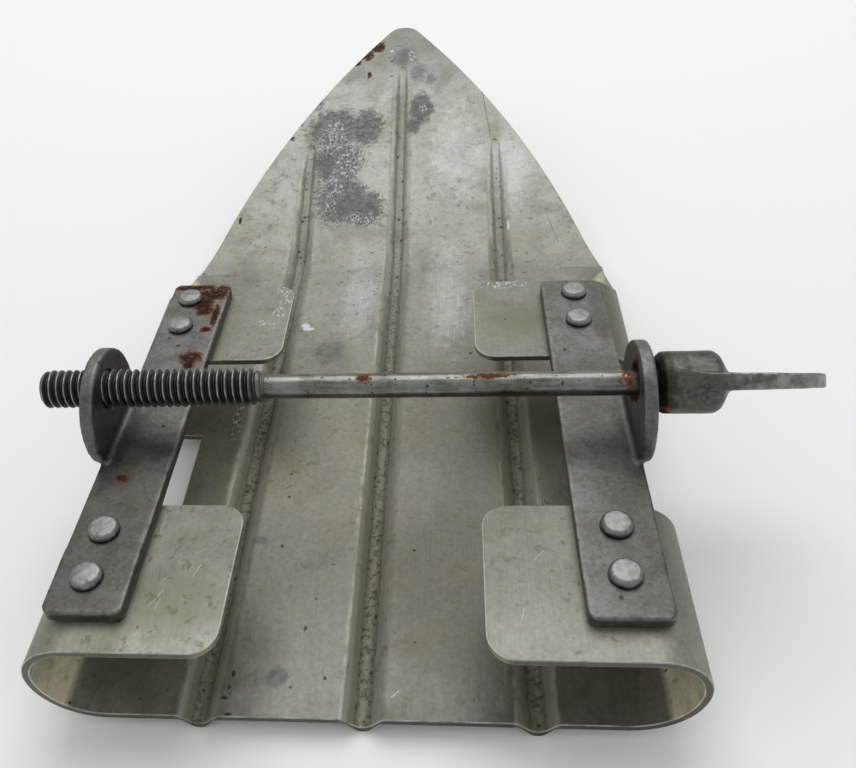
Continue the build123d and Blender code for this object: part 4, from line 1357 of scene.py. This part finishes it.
class SOLEPLATE_OT_shank(bpy.types.Operator):
    """Make the plain shank between the thread and the head"""

    bl_idname = "soleplate.shank"
    bl_label = "Plain shank"

    def execute(self, context):
        sizes, finishes = context.scene.screw_sizes, context.scene.sole_finishes
        low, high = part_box("screw_shank")
        radius = (high.z - low.z) / 2
        segments, ring_gap, rings = 72, 0.8 * MM, []
        steps = int((high.x - low.x) / ring_gap)
        for step in range(steps + 1):
            along = (high.x - low.x) * step / steps
            radii = []
            for spoke in range(segments):
                turn = 2 * math.pi * spoke / segments
                spot = Vector((along * 90.0, math.cos(turn), math.sin(turn)))
                radii.append(radius - sizes.wobble * (0.5 + 0.5 * noise.noise(spot)))
            rings.append((along, radii))
        piece = turned_mesh("plain_shank", rings, (low.x, 0.0, (low.z + high.z) / 2))
        finish_piece(piece, shank_material(finishes), "screw_slide", "screw", "screw_shank")
        return {"FINISHED"}


class SOLEPLATE_OT_head(bpy.types.Operator):
    """Forge the thumb head with its flat blade"""

    bl_idname = "soleplate.head"
    bl_label = "Thumb head"

    def execute(self, context):
        sizes, finishes = context.scene.head_sizes, context.scene.sole_finishes
        piece = worked_copy("thumb_head", "forged_thumb_head", sizes.cell, sizes.dent, 330.0, 5, 9, 1.8)
        low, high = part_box("thumb_head")
        steel = head_material(finishes, low.x, high.x - sizes.blade)
        finish_piece(piece, steel, "screw_spin", "head", "thumb_head")
        return {"FINISHED"}


class SOLEPLATE_OT_stage(bpy.types.Operator):
    """Lay the pale floor, light it and place the camera"""

    bl_idname = "soleplate.stage"
    bl_label = "Stage"

    def execute(self, context):
        stage = context.scene.sole_stage
        self.lay_floor(stage)
        self.light_sky(context.scene, stage)
        self.hang_lamp(stage)
        self.place_camera(context.scene, stage)
        context.scene.view_settings.view_transform = "Standard"
        return {"FINISHED"}

    def lay_floor(self, stage):
        """A plain pale floor under the ribs."""
        half, under = stage.floor_half, CAD_BOX[0].z - 0.02 * MM
        mesh = bpy.data.meshes.new("floor")
        corners = [(x * half, y * half, under) for x, y in ((-1, -1), (1, -1), (1, 1), (-1, 1))]
        mesh.from_pydata(corners, [], [(0, 1, 2, 3)])
        floor = bpy.data.objects.new("floor", mesh)
        bpy.context.scene.collection.objects.link(floor)
        made, tree, shader, place = new_material("floor_paper", 0.0)
        tint = noise_value(tree, place, 2.5, 2.0)
        shade = [value * 0.985 for value in stage.floor_colour]
        tree.links.new(blend_colour(tree, tint, shade, stage.floor_colour), shader.inputs["Base Color"])
        shader.inputs["Roughness"].default_value = 0.7
        mesh.materials.append(made)

    def light_sky(self, scene, stage):
        """A grey sky that is lighter overhead."""
        world = bpy.data.worlds.new("studio")
        scene.world = world
        world.use_nodes = True
        tree = world.node_tree
        way = tree.nodes.new("ShaderNodeTexCoord").outputs["Generated"]
        rise = add_node(tree, "ShaderNodeSeparateXYZ", {0: way}).outputs["Z"]
        share = step_between(tree, rise, 0.0, 0.95)
        low, high = [(value,) * 3 for value in (stage.sky_low, stage.sky_high)]
        colour = blend_colour(tree, share, low, high)
        tree.links.new(colour, tree.nodes["Background"].inputs["Color"])

    def hang_lamp(self, stage):
        """One large soft box over the part."""
        lamp = bpy.data.lights.new("soft_box", "AREA")
        lamp.shape = "SQUARE"
        lamp.size = stage.lamp_side
        lamp.energy = stage.lamp_power
        holder = bpy.data.objects.new("soft_box", lamp)
        holder.location = stage.lamp_place
        aim = (CAD_BOX[0] + CAD_BOX[1]) / 2 - Vector(stage.lamp_place)
        holder.rotation_euler = aim.to_track_quat("-Z", "Y").to_euler()
        bpy.context.scene.collection.objects.link(holder)

    def place_camera(self, scene, stage):
        """The main view, from above the heel."""
        tilt, turn, roll = stage.camera_tilt, stage.camera_turn, stage.camera_roll
        forward = Vector((math.sin(turn) * math.cos(tilt), math.cos(turn) * math.cos(tilt),
                          -math.sin(tilt)))
        right = Vector((math.cos(turn), -math.sin(turn), 0.0))
        down = forward.cross(right)
        across = math.cos(roll) * right + math.sin(roll) * down
        upward = math.sin(roll) * right - math.cos(roll) * down
        lens = bpy.data.cameras.new("main_view")
        lens.sensor_fit = "HORIZONTAL"
        lens.sensor_width = 36.0
        lens.lens = stage.camera_lens
        lens.shift_x, lens.shift_y = stage.camera_shift
        lens.clip_start = 10 * MM
        lens.clip_end = 10000 * MM
        camera = bpy.data.objects.new("main_view", lens)
        axes = Matrix((across, upward, -forward)).transposed().to_4x4()
        camera.matrix_world = Matrix.Translation(Vector(stage.camera_place)) @ axes
        scene.collection.objects.link(camera)
        scene.camera = camera


OPERATORS = (SOLEPLATE_OT_sheet, SOLEPLATE_OT_straps, SOLEPLATE_OT_rivets, SOLEPLATE_OT_thread,
             SOLEPLATE_OT_shank, SOLEPLATE_OT_head, SOLEPLATE_OT_stage)


class SOLEPLATE_PT_panel(bpy.types.Panel):
    """Lists the pieces that can be made"""

    bl_idname = "SOLEPLATE_PT_panel"
    bl_label = "Sole plate"
    bl_space_type = "VIEW_3D"
    bl_region_type = "UI"
    bl_category = "Sole Plate"

    def draw(self, context):
        for operator in OPERATORS:
            self.layout.operator(operator.bl_idname)


GROUPS = {"sole_sizes": SoleSizes, "strap_sizes": StrapSizes, "rivet_sizes": RivetSizes,
          "screw_sizes": ScrewSizes, "head_sizes": HeadSizes, "sole_finishes": Finishes,
          "sole_stage": StageSizes}
CLASSES = (*GROUPS.values(), *OPERATORS, SOLEPLATE_PT_panel)


def register():
    """Adds the classes and gives the scene their values."""
    for made in CLASSES:
        bpy.utils.register_class(made)
    for name, group in GROUPS.items():
        setattr(bpy.types.Scene, name, PointerProperty(type=group))


def unregister():
    """Takes the classes and the scene's values away."""
    for name in GROUPS:
        delattr(bpy.types.Scene, name)
    for made in reversed(CLASSES):
        bpy.utils.unregister_class(made)


def main():
    """Makes every piece in order."""
    register()
    make_shared_effects()
    bpy.ops.soleplate.sheet()
    bpy.ops.soleplate.straps()
    bpy.ops.soleplate.rivets()
    bpy.ops.soleplate.thread()
    bpy.ops.soleplate.shank()
    bpy.ops.soleplate.head()
    bpy.ops.soleplate.stage()


if __name__ == "__main__":
    main()
